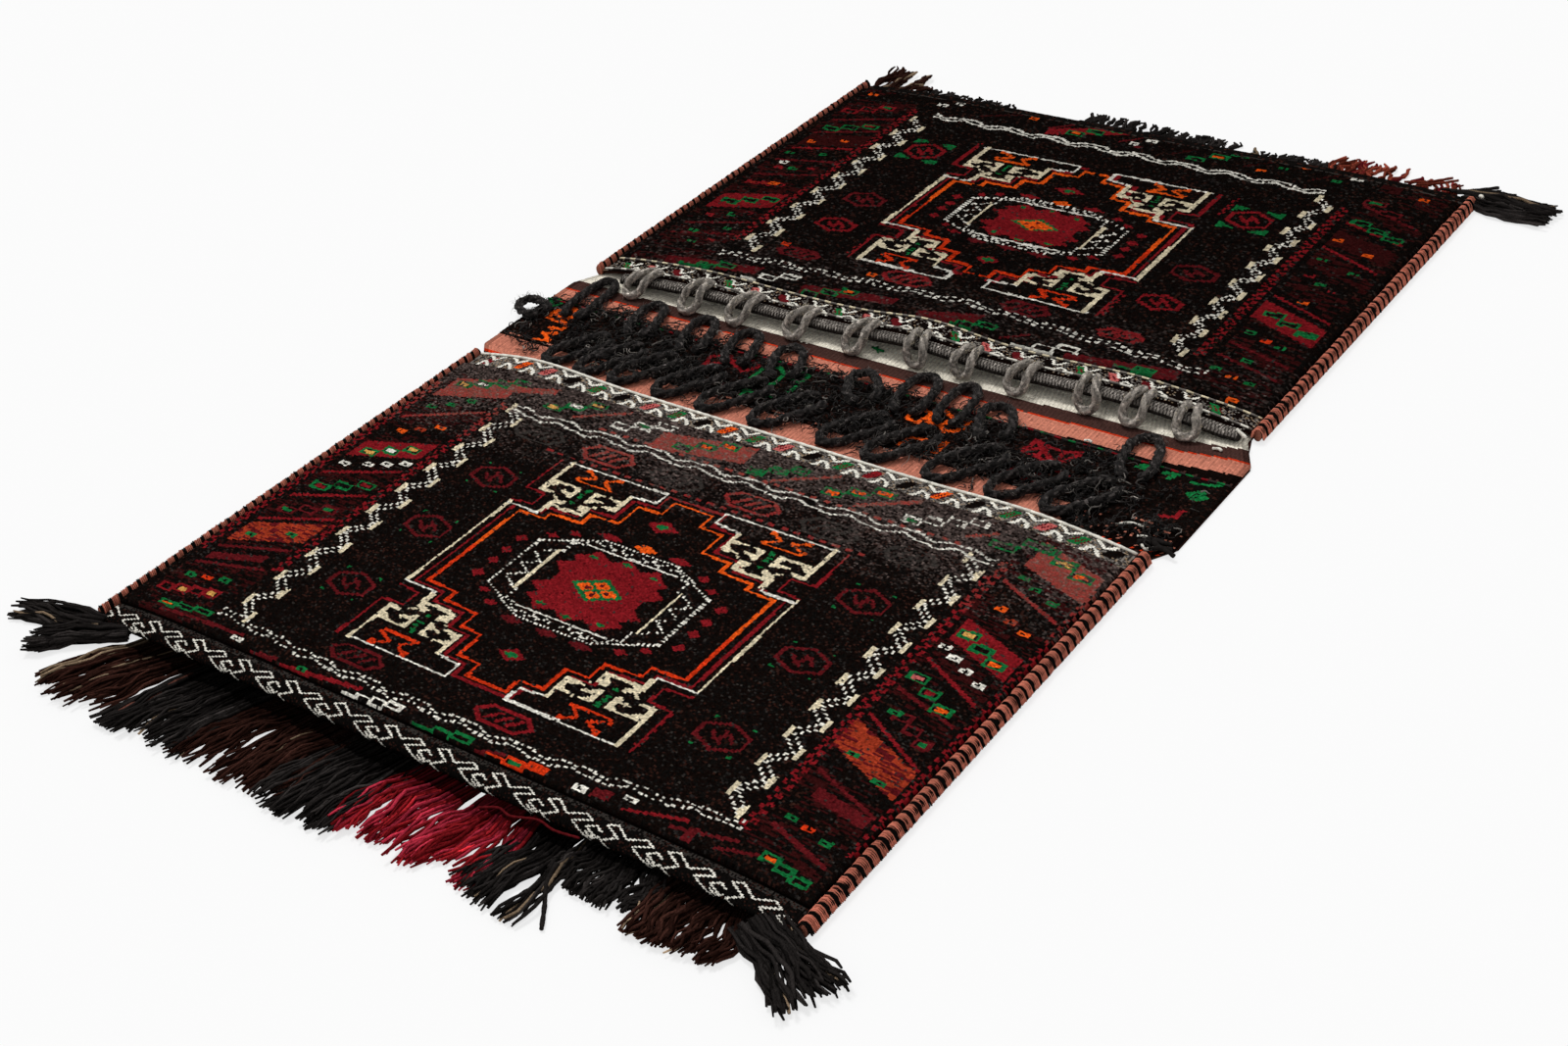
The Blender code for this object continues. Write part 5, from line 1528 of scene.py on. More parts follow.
@dataclass(frozen=True)
class Cord:
    """A felted three-ply cord that closes the bag.

    Attributes:
        diameter: of the whole cord.
        dye: its wool.
        hair: dye of the hairs that stand out of it.
        lobe: depth of the grooves between its plies, as a share of its radius.
        twist: length of one turn of the plies.
        painted_crest_light: painted highlight on the plies' crests and painted shade in their grooves, as how much
            lighter and darker they are.
        grain: how unevenly the wool is shaded.
        rough: how unevenly its surface stands out, in metres.
        reach: the shortest and longest hair, in metres.
        sides: corners of its section.
        hairs: how many hairs one cord has.
    """

    diameter: float
    dye: Dye
    hair: Dye
    lobe: float = 0.10
    twist: float = 0.016
    painted_crest_light: float = 0.3
    grain: float = 0.15
    rough: float = 0.00015
    reach: tuple[float, float] = (0.0010, 0.0030)
    sides: int = 15
    hairs: int = 60

    def build(self, name: str, route: np.ndarray, slot: str, seed: int) -> bpy.types.Object:
        """The radius is the cord's, less the groove's depth times one minus the cosine of three times the
        turn round the section less the twist along the way.

        Args:
            name: of the solid that it stands for.
            route: the cord's own line.
            slot: the record's slot.
            seed: for its unevenness.

        Returns:
            The new object.
        """
        path = through(route, self.diameter / 3.4)
        rng = np.random.default_rng(seed)
        gone = np.linspace(0, length_of(path), len(path))[:, None]
        turn = (np.arange(self.sides) * 2 * math.pi / self.sides)[None]
        plies = np.cos(3 * turn - 2 * math.pi * gone / self.twist)
        lump = np.convolve(rng.normal(0, 1, len(path) + 4), np.ones(5) / 5, "valid")[:, None]
        radii = self.diameter / 2 * (1 - self.lobe * (1 - plies) / 2 + 0.035 * lump)
        radii = radii + rng.normal(0, self.rough, radii.shape)
        ends = np.minimum(1, np.minimum(gone, gone[-1] - gone) / (self.diameter / 3) * 0.4 + 0.6)
        points, groups = tubes(path[None], (radii * ends)[None], self.sides)
        grain = np.exp(self.grain * rng.normal(0, 1, (len(path) - 1, self.sides)))
        # painted highlight on the plies' crests and painted shade in their grooves
        shade = (1 + self.painted_crest_light * plies[:-1]) * grain
        colours = (self.dye.linear * shade[..., None]).reshape(-1, 3)
        colours = np.concatenate([colours, np.tile(self.dye.linear, (2, 1))])
        made = piece_of(f"{name}_cord", (points, groups, colours), FELTED_WOOL, slot, (name,))
        tuple(route[0])
        length_of(route)
        return made

    def fuzz(self, name: str, routes: list[np.ndarray], slot: str, seed: int) -> bpy.types.Object:
        """Hairs that stand out of all the given cords.

        Each hair leaves a random place on the cord's upper half, away from its line, and curls over in
        an arc: its way out is a sine of its length, and its way along the cord one minus a cosine.

        Args:
            name: the piece's name.
            routes: the cords' lines.
            slot: the record's slot.
            seed: for their places.

        Returns:
            The new object.
        """
        rng = np.random.default_rng(seed)
        fine = [through(route, self.diameter / 3) for route in routes]
        count = len(fine) * self.hairs
        pick = [rng.integers(1, len(path) - 1, self.hairs) for path in fine]
        base = np.concatenate([path[k] for path, k in zip(fine, pick)])
        run = unit(np.concatenate([path[k + 1] - path[k - 1] for path, k in zip(fine, pick)]))
        side = unit(np.cross(run, [0, 0, 1.0]))
        turn = rng.uniform(-0.15, math.pi + 0.15, count)[:, None]
        out = side * np.cos(turn) + np.array([0, 0, 1.0]) * np.sin(turn)
        lean = unit(np.cross(run, out) * rng.normal(0, 1, (count, 1)) + run * rng.normal(0, 1, (count, 1)))
        reach = rng.uniform(*self.reach, (count, 1, 1))
        t = np.linspace(0, 1, 4)[None, :, None]
        curl = rng.uniform(0.6, 1.5, (count, 1, 1))
        path = (base[:, None] + out[:, None] * (self.diameter / 2 * 0.93 + reach * np.sin(t * 1.9) * 0.6)
                + lean[:, None] * reach * curl * (1 - np.cos(t * 1.8)))
        path[..., 2] = np.maximum(path[..., 2], STRIP.back + 0.0006)
        radii = 0.00016 * (1.1 - t) * rng.uniform(0.8, 1.4, (count, 1, 1))
        points, groups = tubes(path, radii, 3, up=(0.31, 0.22, 0.93))
        hair = np.where(rng.random((count, 1)) < 0.45, self.hair.linear, self.dye.linear * 1.3)
        colours = np.concatenate([np.repeat(hair, 9, axis=0), hair, hair])
        return piece_of(name, (points, groups, colours), FELTED_WOOL, slot)


GREY_CORD = Cord(0.0070, Dye.FELT_GREY, Dye.CREAM, lobe=0.15, twist=0.013, painted_crest_light=0.40, grain=0.32,
                 rough=0.00022, hairs=70)
BLACK_CORD = Cord(0.0075, Dye.SOOT, Dye.GREY, lobe=0.22, twist=0.011, painted_crest_light=0.70, grain=0.60, rough=0.00038,
                  reach=(0.0012, 0.0050), hairs=120)


@dataclass(frozen=True)
class ClosureLoops:
    """The grey loops sewn to the far mouth, which hang over the roll.

    Each is given by its root's and its tip's share of half the width, and its reach past the roll.
    """

    loops: tuple[tuple[float, float, float], ...] = (
        (-0.7842, -0.8485, 0.0102), (-0.6086, -0.6397, 0.0129), (-0.4332, -0.4853, 0.0105),
        (-0.2516, -0.2933, 0.0101), (-0.0630, -0.1028, 0.0098), (0.0878, 0.0994, 0.0068),
        (0.2459, 0.2304, 0.0043), (0.4140, 0.3888, 0.0088), (0.5771, 0.5999, 0.0089),
        (0.7319, 0.7159, 0.0108), (0.8479, 0.8651, 0.0106),
    )
    half_width: float = 0.0075
    root_inset: float = 0.002
    sag: float = 0.35
    outline: tuple = ((0.0, 0.50), (0.3, 0.65), (0.6, 0.95), (0.8, 1.0), (0.9, 0.86), (0.97, 0.52))
    over_roll: tuple[float, ...] = (75, 105, 135, 160, 180)
    spacing: float = 0.85

    def way(self, x: float, reach: float) -> np.ndarray:
        """The way from the seam over the roll and down to the bridge, at one X."""
        lift = GREY_CORD.diameter / 2 + CLEAR
        roll_y, roll_z = ROLL.middle(x)
        reach_y, reach_z = ROLL.width / 2 + lift + 2 * CLEAR, ROLL.height / 2 + lift + 2 * CLEAR
        start_z = FAR.underside(x, 0.0) + STRIP.face_weave + lift + CLEAR
        places = [(x, FAR.y(x, 0.0) + self.root_inset, start_z)]
        for turn in np.radians(self.over_roll):
            places.append((x, roll_y + reach_y * math.cos(turn), roll_z + reach_z * math.sin(turn)))
        tip_y, rest = roll_y - ROLL.width / 2 - reach, STRIP.back + lift
        places.append((x, (places[-1][1] + tip_y) / 2, rest + self.sag * (places[-1][2] - rest)))
        places.append((x, tip_y, rest))
        return through(places, GREY_CORD.diameter / 4)

    def route(self, root_x: float, tip_x: float, reach: float) -> np.ndarray:
        """A loop drawn out flat and then laid over the roll."""
        length = length_of(self.way(root_x, reach))
        axis = np.array([(root_x, 0.0, 0.0), (tip_x, length, 0.0)])
        places = []
        for x, along, _ in loop_route(axis, self.half_width, self.outline, GREY_CORD.diameter):
            way = self.way(x, reach)
            share = np.linspace(0.0, length, len(way))
            places.append((x, np.interp(along, share, way[:, 1]), np.interp(along, share, way[:, 2])))
        return through(places, self.spacing * GREY_CORD.diameter)

    def build(self) -> None:
        """Makes the loops and their hairs."""
        routes = [self.route(a * STRIP.half, b * STRIP.half, reach) for a, b, reach in self.loops]
        for k, route in enumerate(routes):
            GREY_CORD.build(f"grey_loop_{k + 1:02d}", route, "grey_goat_hair", 100 + k)
        GREY_CORD.fuzz("grey_loop_hairs", routes, "grey_goat_hair", 130)


@dataclass(frozen=True)
class PanelLoops:
    """The black loops on the bridge: two rows leaning one way, and one at the panel's left end.

    Each loop is given by its tip's share of half the width, its reach past the panel, its half width
    and how far its root lies further along X.
    """

    near: tuple[tuple[float, float, float, float], ...] = (
        (-0.8220, 0.0215, 0.0100, 0.032), (-0.7060, 0.0225, 0.0100, 0.032), (-0.5900, 0.0215, 0.0100, 0.032),
        (-0.4441, 0.0205, 0.0105, 0.034), (-0.2950, 0.0220, 0.0110, 0.034), (-0.1293, 0.0210, 0.0115, 0.034),
        (0.0795, 0.0190, 0.0110, 0.034), (0.2188, 0.0215, 0.0110, 0.034), (0.3977, 0.0220, 0.0120, 0.038),
        (0.5701, 0.0205, 0.0115, 0.034), (0.7159, 0.0190, 0.0110, 0.034),
    )
    far: tuple[tuple[float, float, float, float], ...] = (
        (-0.9347, 0.0385, 0.0105, 0.008), (-0.7209, 0.0235, 0.0105, 0.014), (-0.5436, 0.0225, 0.0105, 0.016),
        (-0.3911, 0.0215, 0.0105, 0.016), (-0.2403, 0.0155, 0.0115, 0.018), (0.0000, 0.0060, 0.0115, 0.024),
        (0.1657, 0.0270, 0.0120, 0.010), (0.2867, 0.0285, 0.0100, 0.010), (0.3994, 0.0125, 0.0125, 0.018),
        (0.7938, 0.0255, 0.0120, 0.014),
    )
    side_root: tuple[float, float] = (0.0180, 0.001)
    side_tip: tuple[float, float] = (-0.0110, 0.010)
    side_half_width: float = 0.0100
    outline: tuple = ((0.0, 0.40), (0.07, 0.78), (0.22, 1.0), (0.6, 1.0), (0.82, 0.86), (0.95, 0.50))
    spacing: float = 1.1
    root_gap: float = 0.00275

    @staticmethod
    def ground(y: np.ndarray) -> np.ndarray:
        """Height of the bridge's upper side: the panel is raised, and a cord leaves it gently."""
        past = (np.abs(y) - STRIP.panel / 2 - STRIP.step - BLACK_CORD.diameter / 2) / STRIP.panel_slope
        return STRIP.back + STRIP.panel_rise * (1 - eased(past))

    def route(self, root: tuple[float, float], tip: tuple[float, float], half_width: float) -> np.ndarray:
        """A loop across the bridge, each point of it resting on what is under it."""
        axis = np.array([(*root, 0.0), (*tip, 0.0)])
        route = loop_route(axis, half_width, self.outline, self.spacing * BLACK_CORD.diameter)
        route[:, 2] = self.ground(route[:, 1]) + BLACK_CORD.diameter / 2 + CLEAR
        return route

    def build(self) -> None:
        """Makes the loops and their hairs."""
        routes = {}
        for row, loops, direction in (("near", self.near, -1), ("far", self.far, 1)):
            for k, (place, reach, half_width, lean) in enumerate(loops):
                tip_x = place * STRIP.half
                root = (tip_x + lean, direction * (self.root_gap + BLACK_CORD.diameter / 2))
                tip = (tip_x, direction * (STRIP.panel / 2 + reach))
                routes[f"black_loop_{row}_{k + 1:02d}"] = self.route(root, tip, half_width)
        root = (self.side_root[0] - STRIP.half_bridge, self.side_root[1])
        tip = (self.side_tip[0] - STRIP.half_bridge, self.side_tip[1])
        routes["black_loop_side"] = self.route(root, tip, self.side_half_width)
        for k, (name, route) in enumerate(routes.items()):
            BLACK_CORD.build(name, route, "black_goat_hair", 200 + k)
        BLACK_CORD.fuzz("black_loop_hairs", list(routes.values()), "black_goat_hair", 240)


@dataclass(frozen=True)
class Shag:
    """Loose curls of the loops' hair, felted over the panel and its edges.

    Attributes:
        count: how many curls.
        stations: points along one of them.
        length: the shortest and longest.
        radius: the thinnest and thickest.
        near: middle of its near edge's Y.
        bare: X, Y and radius of places where the panel shows through.
    """

    count: int = 2600
    stations: int = 6
    length: tuple[float, float] = (0.006, 0.019)
    radius: tuple[float, float] = (0.00030, 0.00082)
    near: float = -0.0425
    bare: tuple[tuple[float, float, float], ...] = (
        (-0.284, 0.012, 0.018), (-0.276, -0.018, 0.017), (-0.108, 0.010, 0.024), (-0.060, 0.010, 0.024),
        (-0.060, -0.022, 0.014), (0.085, 0.012, 0.024), (0.090, -0.020, 0.014), (0.184, 0.010, 0.022),
        (0.262, 0.020, 0.024), (0.302, 0.012, 0.020), (0.290, -0.015, 0.016),
    )

    def build(self) -> bpy.types.Object:
        """Makes the curls.

        Each starts at a random place over the panel, and its heading turns steadily, with a wave of its
        own, as it goes. It lies on the panel or on what lies there, highest in its middle.
        """
        rng = np.random.default_rng(61)
        draws = self.count * 3
        x = rng.uniform(-1, 1, draws) * (STRIP.half_bridge - 0.008)
        near = self.near + 0.006 * np.sin(x * 73) + 0.004 * np.sin(x * 151 + 2)
        near = near - 0.017 * eased((x - 0.20) / 0.05)
        far = np.interp(x, [-0.3, 0.12, 0.15], [0.038, 0.036, 0.029])
        y = near + (far - near) * rng.random(draws)
        spots = np.array(self.bare)
        inside = (np.hypot(x[:, None] - spots[:, 0], y[:, None] - spots[:, 1]) < spots[:, 2]).any(1)
        thin = 0.25 + 0.75 * (np.sin(x * 61 + 1) * np.sin(y * 140) > -0.35)
        kept = np.flatnonzero(rng.random(draws) < np.where(inside, 0.10, thin))[:self.count]
        x, y = x[kept, None], y[kept, None]
        count = len(kept)
        t = np.linspace(0, 1, self.stations)[None]
        turn = rng.uniform(0, 2 * math.pi, (count, 1)) + rng.normal(0, 3.6, (count, 1)) * t
        turn = turn + 0.9 * np.sin(t * rng.uniform(4, 10, (count, 1)))
        step = rng.uniform(*self.length, (count, 1)) / (self.stations - 1)
        x = x + np.cumsum(np.cos(turn), 1) * step
        y = y + np.cumsum(np.sin(turn), 1) * step
        x = np.clip(x, 0.003 - STRIP.half_bridge, STRIP.half_bridge - 0.003)
        radius = rng.uniform(*self.radius, (count, 1, 1))
        level = rng.random((count, 1)) ** 2 * 0.0052
        arch = 0.0022 * rng.random((count, 1)) * np.sin(math.pi * t)
        z = PanelLoops.ground(y) + radius[..., 0] + CLEAR + level + arch
        radii = radius * (1.05 - 0.6 * t[..., None])
        points, groups = tubes(np.stack([x, y, z], -1), radii, 3, up=(0.12, 0.07, 1.0))
        shade = np.array([dye.linear for dye in (Dye.BLACK, Dye.SOOT, Dye.DARK_GREY, Dye.GREY)])
        shade = shade[rng.choice(4, count, p=(0.34, 0.38, 0.22, 0.06))]
        shade = shade * np.exp(0.3 * rng.normal(0, 1, (count, 1)))
        shade = np.concatenate([np.repeat(shade, 3 * (self.stations - 1), axis=0), shade, shade])
        return piece_of("panel_shag", (points, groups, shade), FELTED_WOOL, "black_goat_hair")


@dataclass(frozen=True)
class SideBinding:
    """Wool overcast along one sewn side of a pouch, salmon and black by turns."""

    pouch: Pouch
    side: int
    pitch: float = 0.0085
    light: int = 4
    dark: int = 2
    dull: float = 1.0         # share of the pale dye's light that is left
    short: float = 0.004
    rise: float = 0.0010

    def build(self) -> bpy.types.Object:
        """Makes the dark core and the stitches over it.

        A stitch is a thread along half an ellipse over the core, which moves on along the side as it
        goes round.
        """
        inner = STRIP.pouch_width / 2 - STRIP.side_cord
        high = STRIP.back + STRIP.seam_gap + STRIP.face_weave + STRIP.pile + self.rise - CLEAR
        start = float(self.pouch.y(self.side * inner, 0.0))
        end = self.pouch.end - self.pouch.direction * self.short
        threads = round(abs(end - start) / self.pitch) * (self.light + self.dark)
        rng = np.random.default_rng(300 + self.side + 7 * self.pouch.direction)
        y = start + (end - start) * (np.arange(threads) + 0.5) / threads
        t = np.linspace(0, 1, 7)[None]
        turn = math.pi * (0.10 + 0.98 * t)
        wide = STRIP.side_cord * (0.47 + 0.02 * rng.normal(0, 1, (threads, 1)))
        tall = (high - 0.0010) * (0.95 + 0.03 * rng.normal(0, 1, (threads, 1)))
        x = self.side * (inner + STRIP.side_cord * 0.47 - np.cos(turn) * wide)
        z = CLEAR + 0.0008 + np.maximum(np.sin(turn), 0) * tall
        slant = (t - 0.5) * 0.0050
        paths = np.stack([x, y[:, None] + slant + 0 * x, z], -1)
        thread = abs(end - start) / threads
        radii = thread * 0.56 * (1 + 0.08 * rng.normal(0, 1, (threads, 1, 1)))
        points, groups = tubes(paths, radii * np.ones((1, 1, 5)), 5, up=(0, 1, 0), flat=0.8)
        light = np.arange(threads) % (self.light + self.dark) < self.light
        pale = Dye.SALMON.linear * (self.dull, self.dull * 0.9, self.dull * 0.9)
        shade = np.where(light[:, None], pale, Dye.BLACK.linear * 1.3)
        shade = shade * np.clip(1 + 0.16 * rng.normal(0, 1, (threads, 1)), 0.5, 1.6)
        mesh = Mesh()
        mesh.add(points, groups, np.concatenate([np.repeat(shade, 30, axis=0), shade, shade]))
        core_y = np.linspace(start, end, 40)
        middle = np.full_like(core_y, self.side * (inner + STRIP.side_cord * 0.5))
        path = np.stack([middle, core_y, np.full_like(core_y, CLEAR + high * 0.47)], 1)[None]
        points, groups = tubes(path, np.full((1, 40, 12), STRIP.side_cord * 0.43), 12, flat=high / STRIP.side_cord)
        core = np.tile(Dye.BLACK.linear, (sum(map(len, groups)), 1))
        core[-2:] = Dye.SALMON.linear * 0.45
        mesh.add(points, groups, core)
        which = f"{self.pouch.name}_{'left' if self.side < 0 else 'right'}_binding"
        return mesh.piece(f"{which}_stitches", STITCH_WOOL, "binding_wool", (which,))


# pouch, side, and the share of the pale dye's light that is left
BINDINGS = ((NEAR, -1, 0.70), (NEAR, 1, 0.92), (FAR, -1, 0.58), (FAR, 1, 0.92))


@dataclass(frozen=True)
class Yarns:
    """Yarns of a fringe or tuft: two-ply strands that leave a fold, wave and come to lie on the floor."""

    sides: int = 5
    stations: int = 10
    radius: float = 0.00114

    def strands(self, roots: np.ndarray, tips: np.ndarray, high: np.ndarray, top: np.ndarray, lock: np.ndarray,
                seed: int, curl: float) -> tuple[np.ndarray, list[np.ndarray], int]:
        """Strands from roots to tips.

        Sideways each is its straight way plus two sine waves that grow along it, the slower one nearly
        the same for all strands of a lock. Its height falls from high to the resting height along a
        smooth step, with a small wave of its own.

        Args:
            roots: (strands, 2) plan places.
            tips: (strands, 2) plan places.
            high: each strand's height at its root.
            top: each strand's resting height.
            lock: the number of each strand's lock.
            seed: for the waves.
            curl: how wide the waves are, in metres.

        Returns:
            Points, face groups and the number of faces of one strand's side.
        """
        rng = np.random.default_rng(seed)
        count = len(roots)
        t = np.linspace(0, 1, self.stations)[None]
        run = tips - roots
        side = unit(np.stack([-run[:, 1], run[:, 0]], 1))
        shared = rng.uniform(0, 2 * math.pi, (int(lock.max()) + 1, 2))[lock.astype(int)]
        phase = shared + rng.normal(0, 0.35, (count, 2))
        slow = 4.5 + 2.5 * np.sin(lock * 2.4)[:, None]
        waves = np.sin(t * slow + phase[:, :1]) - np.sin(phase[:, :1])
        small = np.sin(t * rng.uniform(11, 19, (count, 1)) + phase[:, 1:]) - np.sin(phase[:, 1:])
        away = (waves * curl * 1.5 + small * curl * 0.80) * np.minimum(t * 2.5, 1)
        plan = roots[:, None] + run[:, None] * t[..., None] + side[:, None] * away[..., None]
        z = high[:, None] + (top - high)[:, None] * eased(t * 1.7)
        z = z + 0.0009 * np.sin(t * rng.uniform(9, 15, (count, 1)) + phase[:, 1:]) * np.minimum(t * 3, 1)
        radius = self.radius * rng.uniform(0.7, 1.25, (count, 1))
        z = np.maximum(z, radius * 1.1 + CLEAR)
        paths = np.concatenate([plan, z[..., None]], -1)
        radii = radius * np.interp(t, [0, 0.06, 0.88, 1], [0.8, 1, 0.95, 0.6])
        turn = np.arange(self.sides)[None, None] * 2 * math.pi / self.sides
        lobes = 1 + 0.20 * np.cos(2 * turn - 2 * math.pi * t[..., None] * 9)
        points, groups = tubes(paths, radii[..., None] * lobes, self.sides, up=(0.05, 0.08, 1.0))
        return points, groups, (self.stations - 1) * self.sides

    def piece(self, name: str, node: str, parts: tuple, dye: Dye, slot: str, seed: int,
              odd: Dye, share: float, shadow: float) -> bpy.types.Object:
        """Makes strands into a piece.

        Args:
            name: the piece's name.
            node: the solid that it stands for.
            parts: what strands gives.
            dye: the wool.
            slot: the record's slot.
            seed: for the strands' shades.
            odd: the colour of a few of them.
            share: how many have it.
            shadow: how far along the strands, as a share, they are darkened as by the fold's shade.

        Returns:
            The new object.
        """
        points, groups, sides = parts
        rng = np.random.default_rng(seed + 5)
        count = len(groups[1]) // 2
        shade = np.where(rng.random((count, 1)) < share, odd.linear, dye.linear)
        shade = shade * np.exp(0.42 * rng.normal(0, 1, (count, 1)))
        along = np.repeat((np.arange(self.stations - 1) + 0.5) / (self.stations - 1), self.sides)
        dim = np.clip((along / shadow - 0.35) * 1.4, 0.06, 1) if shadow else np.ones(sides)
        body = (shade[:, None] * dim[None, :, None]).reshape(-1, 3)
        colours = np.concatenate([body, shade * dim[0], shade])
        return piece_of(name, (points, groups, colours), YARN_WOOL, slot, (node,))


YARNS = Yarns()
YARN_DYES = {
    "black_yarn": (Dye.SOOT, Dye.TAN, 0.012),
    "brown_yarn": (Dye.BROWN, Dye.TAN, 0.05),
    "crimson_yarn": (Dye.CRIMSON, Dye.ROSE, 0.35),
    "rust_yarn": (Dye.RUSSET, Dye.MADDER, 0.35),
}


@dataclass(frozen=True)
class Fringe:
    """The yarns of one fold.

    Attributes:
        pouch: whose fold it hangs from.
        bundles: name, left and right side as shares of half the width, length, thickness and yarn.
        tufts: name, side, root and tip from the strip's corner, width, thickness and yarn.
        fans: how much wider than its solid a named tuft spreads.
        pitch: from one strand to the next along the fold, on each layer.
        layers: strands above each other.
        curl: how wide the strands' waves are.
        lock: width of one lock of strands.
        lean: how far the strands lean towards the fold's left end there, as a share of their length.
        rag: how unevenly long they are.
        shadow: how far along the strands the fold's shade reaches, as a share.
        yarns: its strands.
    """

    pouch: Pouch
    bundles: tuple
    tufts: tuple
    fans: dict
    pitch: float
    layers: float
    curl: float
    lock: float
    lean: float
    rag: float
    shadow: float
    yarns: Yarns = YARNS

    def build(self) -> None:
        """Makes every bundle and corner tuft."""
        for k, (name, left, right, length, thick, yarn) in enumerate(self.bundles):
            self.build_bundle(name, left * STRIP.half, right * STRIP.half, length, thick, yarn, 400 + k)
        for k, (name, side, root, tip, width, thick, yarn) in enumerate(self.tufts):
            self.build_tuft(name, side, root, tip, width, thick, yarn, 450 + k)

    def build_bundle(self, name: str, left: float, right: float, length: float, thick: float, yarn: str,
                     seed: int) -> None:
        """Strands side by side in locks, leaning more and more towards the fold's left end."""
        rng = np.random.default_rng(seed + 11 * self.pouch.direction)
        count = round((right - left) / self.pitch * self.layers)
        x = np.sort(rng.uniform(left - 0.002, right + 0.002, count))
        lock = np.floor(np.clip(x - left, 0, None) / self.lock)
        middle = left + (lock + 0.5) * self.lock
        lean = self.lean * (1 - x / STRIP.half) / 2 * length
        swing = rng.normal(0, 0.12, int(lock.max()) + 1)[lock.astype(int)] * self.lock
        rag = 1 + rng.normal(0, self.rag, int(lock.max()) + 1)[lock.astype(int)]
        rag = rag + rng.normal(0, self.rag * 0.7, count)
        reach = length * np.clip(rag, 0.5, 1.12)
        root_x = np.clip(x + lean * 0.35, -STRIP.half, STRIP.half)
        tip_x = x - lean * 0.65 + 0.10 * (middle - x) + swing + rng.normal(0, 0.0034, count)
        roots = np.stack([root_x, np.full(count, self.pouch.end - self.pouch.direction * 0.0022)], 1)
        tips = np.stack([tip_x, self.pouch.end + self.pouch.direction * reach], 1)
        level = rng.random(count)
        fold = self.pouch.fold_height(x)
        high = fold * (0.45 + 0.55 * level)
        top = 0.0012 + level * (thick - 0.0022)
        dye, odd, share = YARN_DYES[yarn]
        parts = self.yarns.strands(roots, tips, high, top, lock, seed, self.curl)
        self.yarns.piece(f"{name}_yarns", name, parts, dye, yarn, seed, odd, share, self.shadow)

    def build_tuft(self, name: str, side: int, root: tuple, tip: tuple, width: float, thick: float, yarn: str,
                   seed: int) -> None:
        """Strands splayed out past a corner."""
        rng = np.random.default_rng(seed)
        count = round(width / self.pitch * 8)
        fan = self.fans.get(name, 1.0)
        start = np.array([side * (STRIP.half + root[0]), self.pouch.end + root[1]])
        run = np.array([side * (STRIP.half + tip[0]), self.pouch.end + tip[1]]) - start
        across = unit(np.array([-run[1], run[0]]))
        place = rng.uniform(-0.5, 0.5, (count, 1))
        roots = start + across * place * width * 0.70 * fan ** 1.6
        tips = start + run * rng.uniform(0.82, 1.03, (count, 1)) + across * place * width * 1.20 * fan
        level = rng.random(count)
        dye, odd, share = YARN_DYES[yarn]
        lock = np.floor((place[:, 0] + 0.5) * 3.999)
        high, top = 0.002 + level * thick * 0.6, 0.0012 + level * (thick - 0.0022)
        parts = self.yarns.strands(roots, tips, high, top, lock, seed, self.curl)
        self.yarns.piece(f"{name}_yarns", name, parts, dye, yarn, seed, odd, share, 0.0)


NEAR_FRINGE = Fringe(
    NEAR,
    (
        ("near_fringe_brown_left", -0.8750, -0.6596, 0.068, 0.009, "brown_yarn"),
        ("near_fringe_black_left", -0.6563, -0.4226, 0.068, 0.009, "black_yarn"),
        ("near_fringe_brown_middle", -0.4193, -0.1624, 0.066, 0.008, "brown_yarn"),
        ("near_fringe_black_middle", -0.1591, 0.0381, 0.070, 0.009, "black_yarn"),
        ("near_fringe_crimson", 0.0414, 0.2735, 0.066, 0.009, "crimson_yarn"),
        ("near_fringe_crimson_loose", 0.2768, 0.3762, 0.062, 0.005, "crimson_yarn"),
        ("near_fringe_black_knotted", 0.3795, 0.4972, 0.066, 0.007, "black_yarn"),
        ("near_fringe_black_short", 0.5005, 0.7126, 0.034, 0.007, "black_yarn"),
        ("near_fringe_brown_right", 0.7159, 0.8949, 0.042, 0.009, "brown_yarn"),
    ),
    (
        ("near_tuft_left_outer", -1, (-0.0047, -0.0021), (0.0698, -0.0210), 0.017, 0.009, "black_yarn"),
        ("near_tuft_left_inner", -1, (-0.0317, -0.0011), (0.0273, -0.0440), 0.018, 0.009, "black_yarn"),
        ("near_tuft_right", 1, (-0.0247, -0.0017), (0.0403, -0.0330), 0.022, 0.010, "black_yarn"),
    ),
    fans={"near_tuft_right": 1.7}, pitch=0.0021, layers=4.4, curl=0.0019, lock=0.0150, lean=0.50,
    rag=0.07, shadow=0.46,
)
FAR_FRINGE = Fringe(
    FAR,
    (
        ("far_tuft_brown_corner", -1.0209, -0.8485, 0.042, 0.006, "brown_yarn"),
        ("far_tuft_stubs_left", -0.8286, -0.4972, 0.018, 0.003, "black_yarn"),
        ("far_tuft_black_left", -0.2519, 0.0033, 0.028, 0.004, "black_yarn"),
        ("far_tuft_black_middle", 0.0265, 0.2585, 0.024, 0.004, "black_yarn"),
        ("far_tuft_black_right", 0.3116, 0.5701, 0.020, 0.003, "black_yarn"),
        ("far_tuft_rust", 0.5734, 0.7723, 0.034, 0.004, "rust_yarn"),
        ("far_tuft_rust_corner", 0.8021, 0.9446, 0.024, 0.003, "rust_yarn"),
    ),
    (("far_tuft_black_corner", 1, (-0.0057, 0.0038), (0.0713, -0.0020), 0.030, 0.008, "black_yarn"),),
    fans={"far_tuft_black_corner": 0.95}, pitch=0.0026, layers=1.4, curl=0.0022, lock=0.0060, lean=-0.15,
    rag=0.22, shadow=0.0, yarns=Yarns(stations=9, radius=0.00145),
)


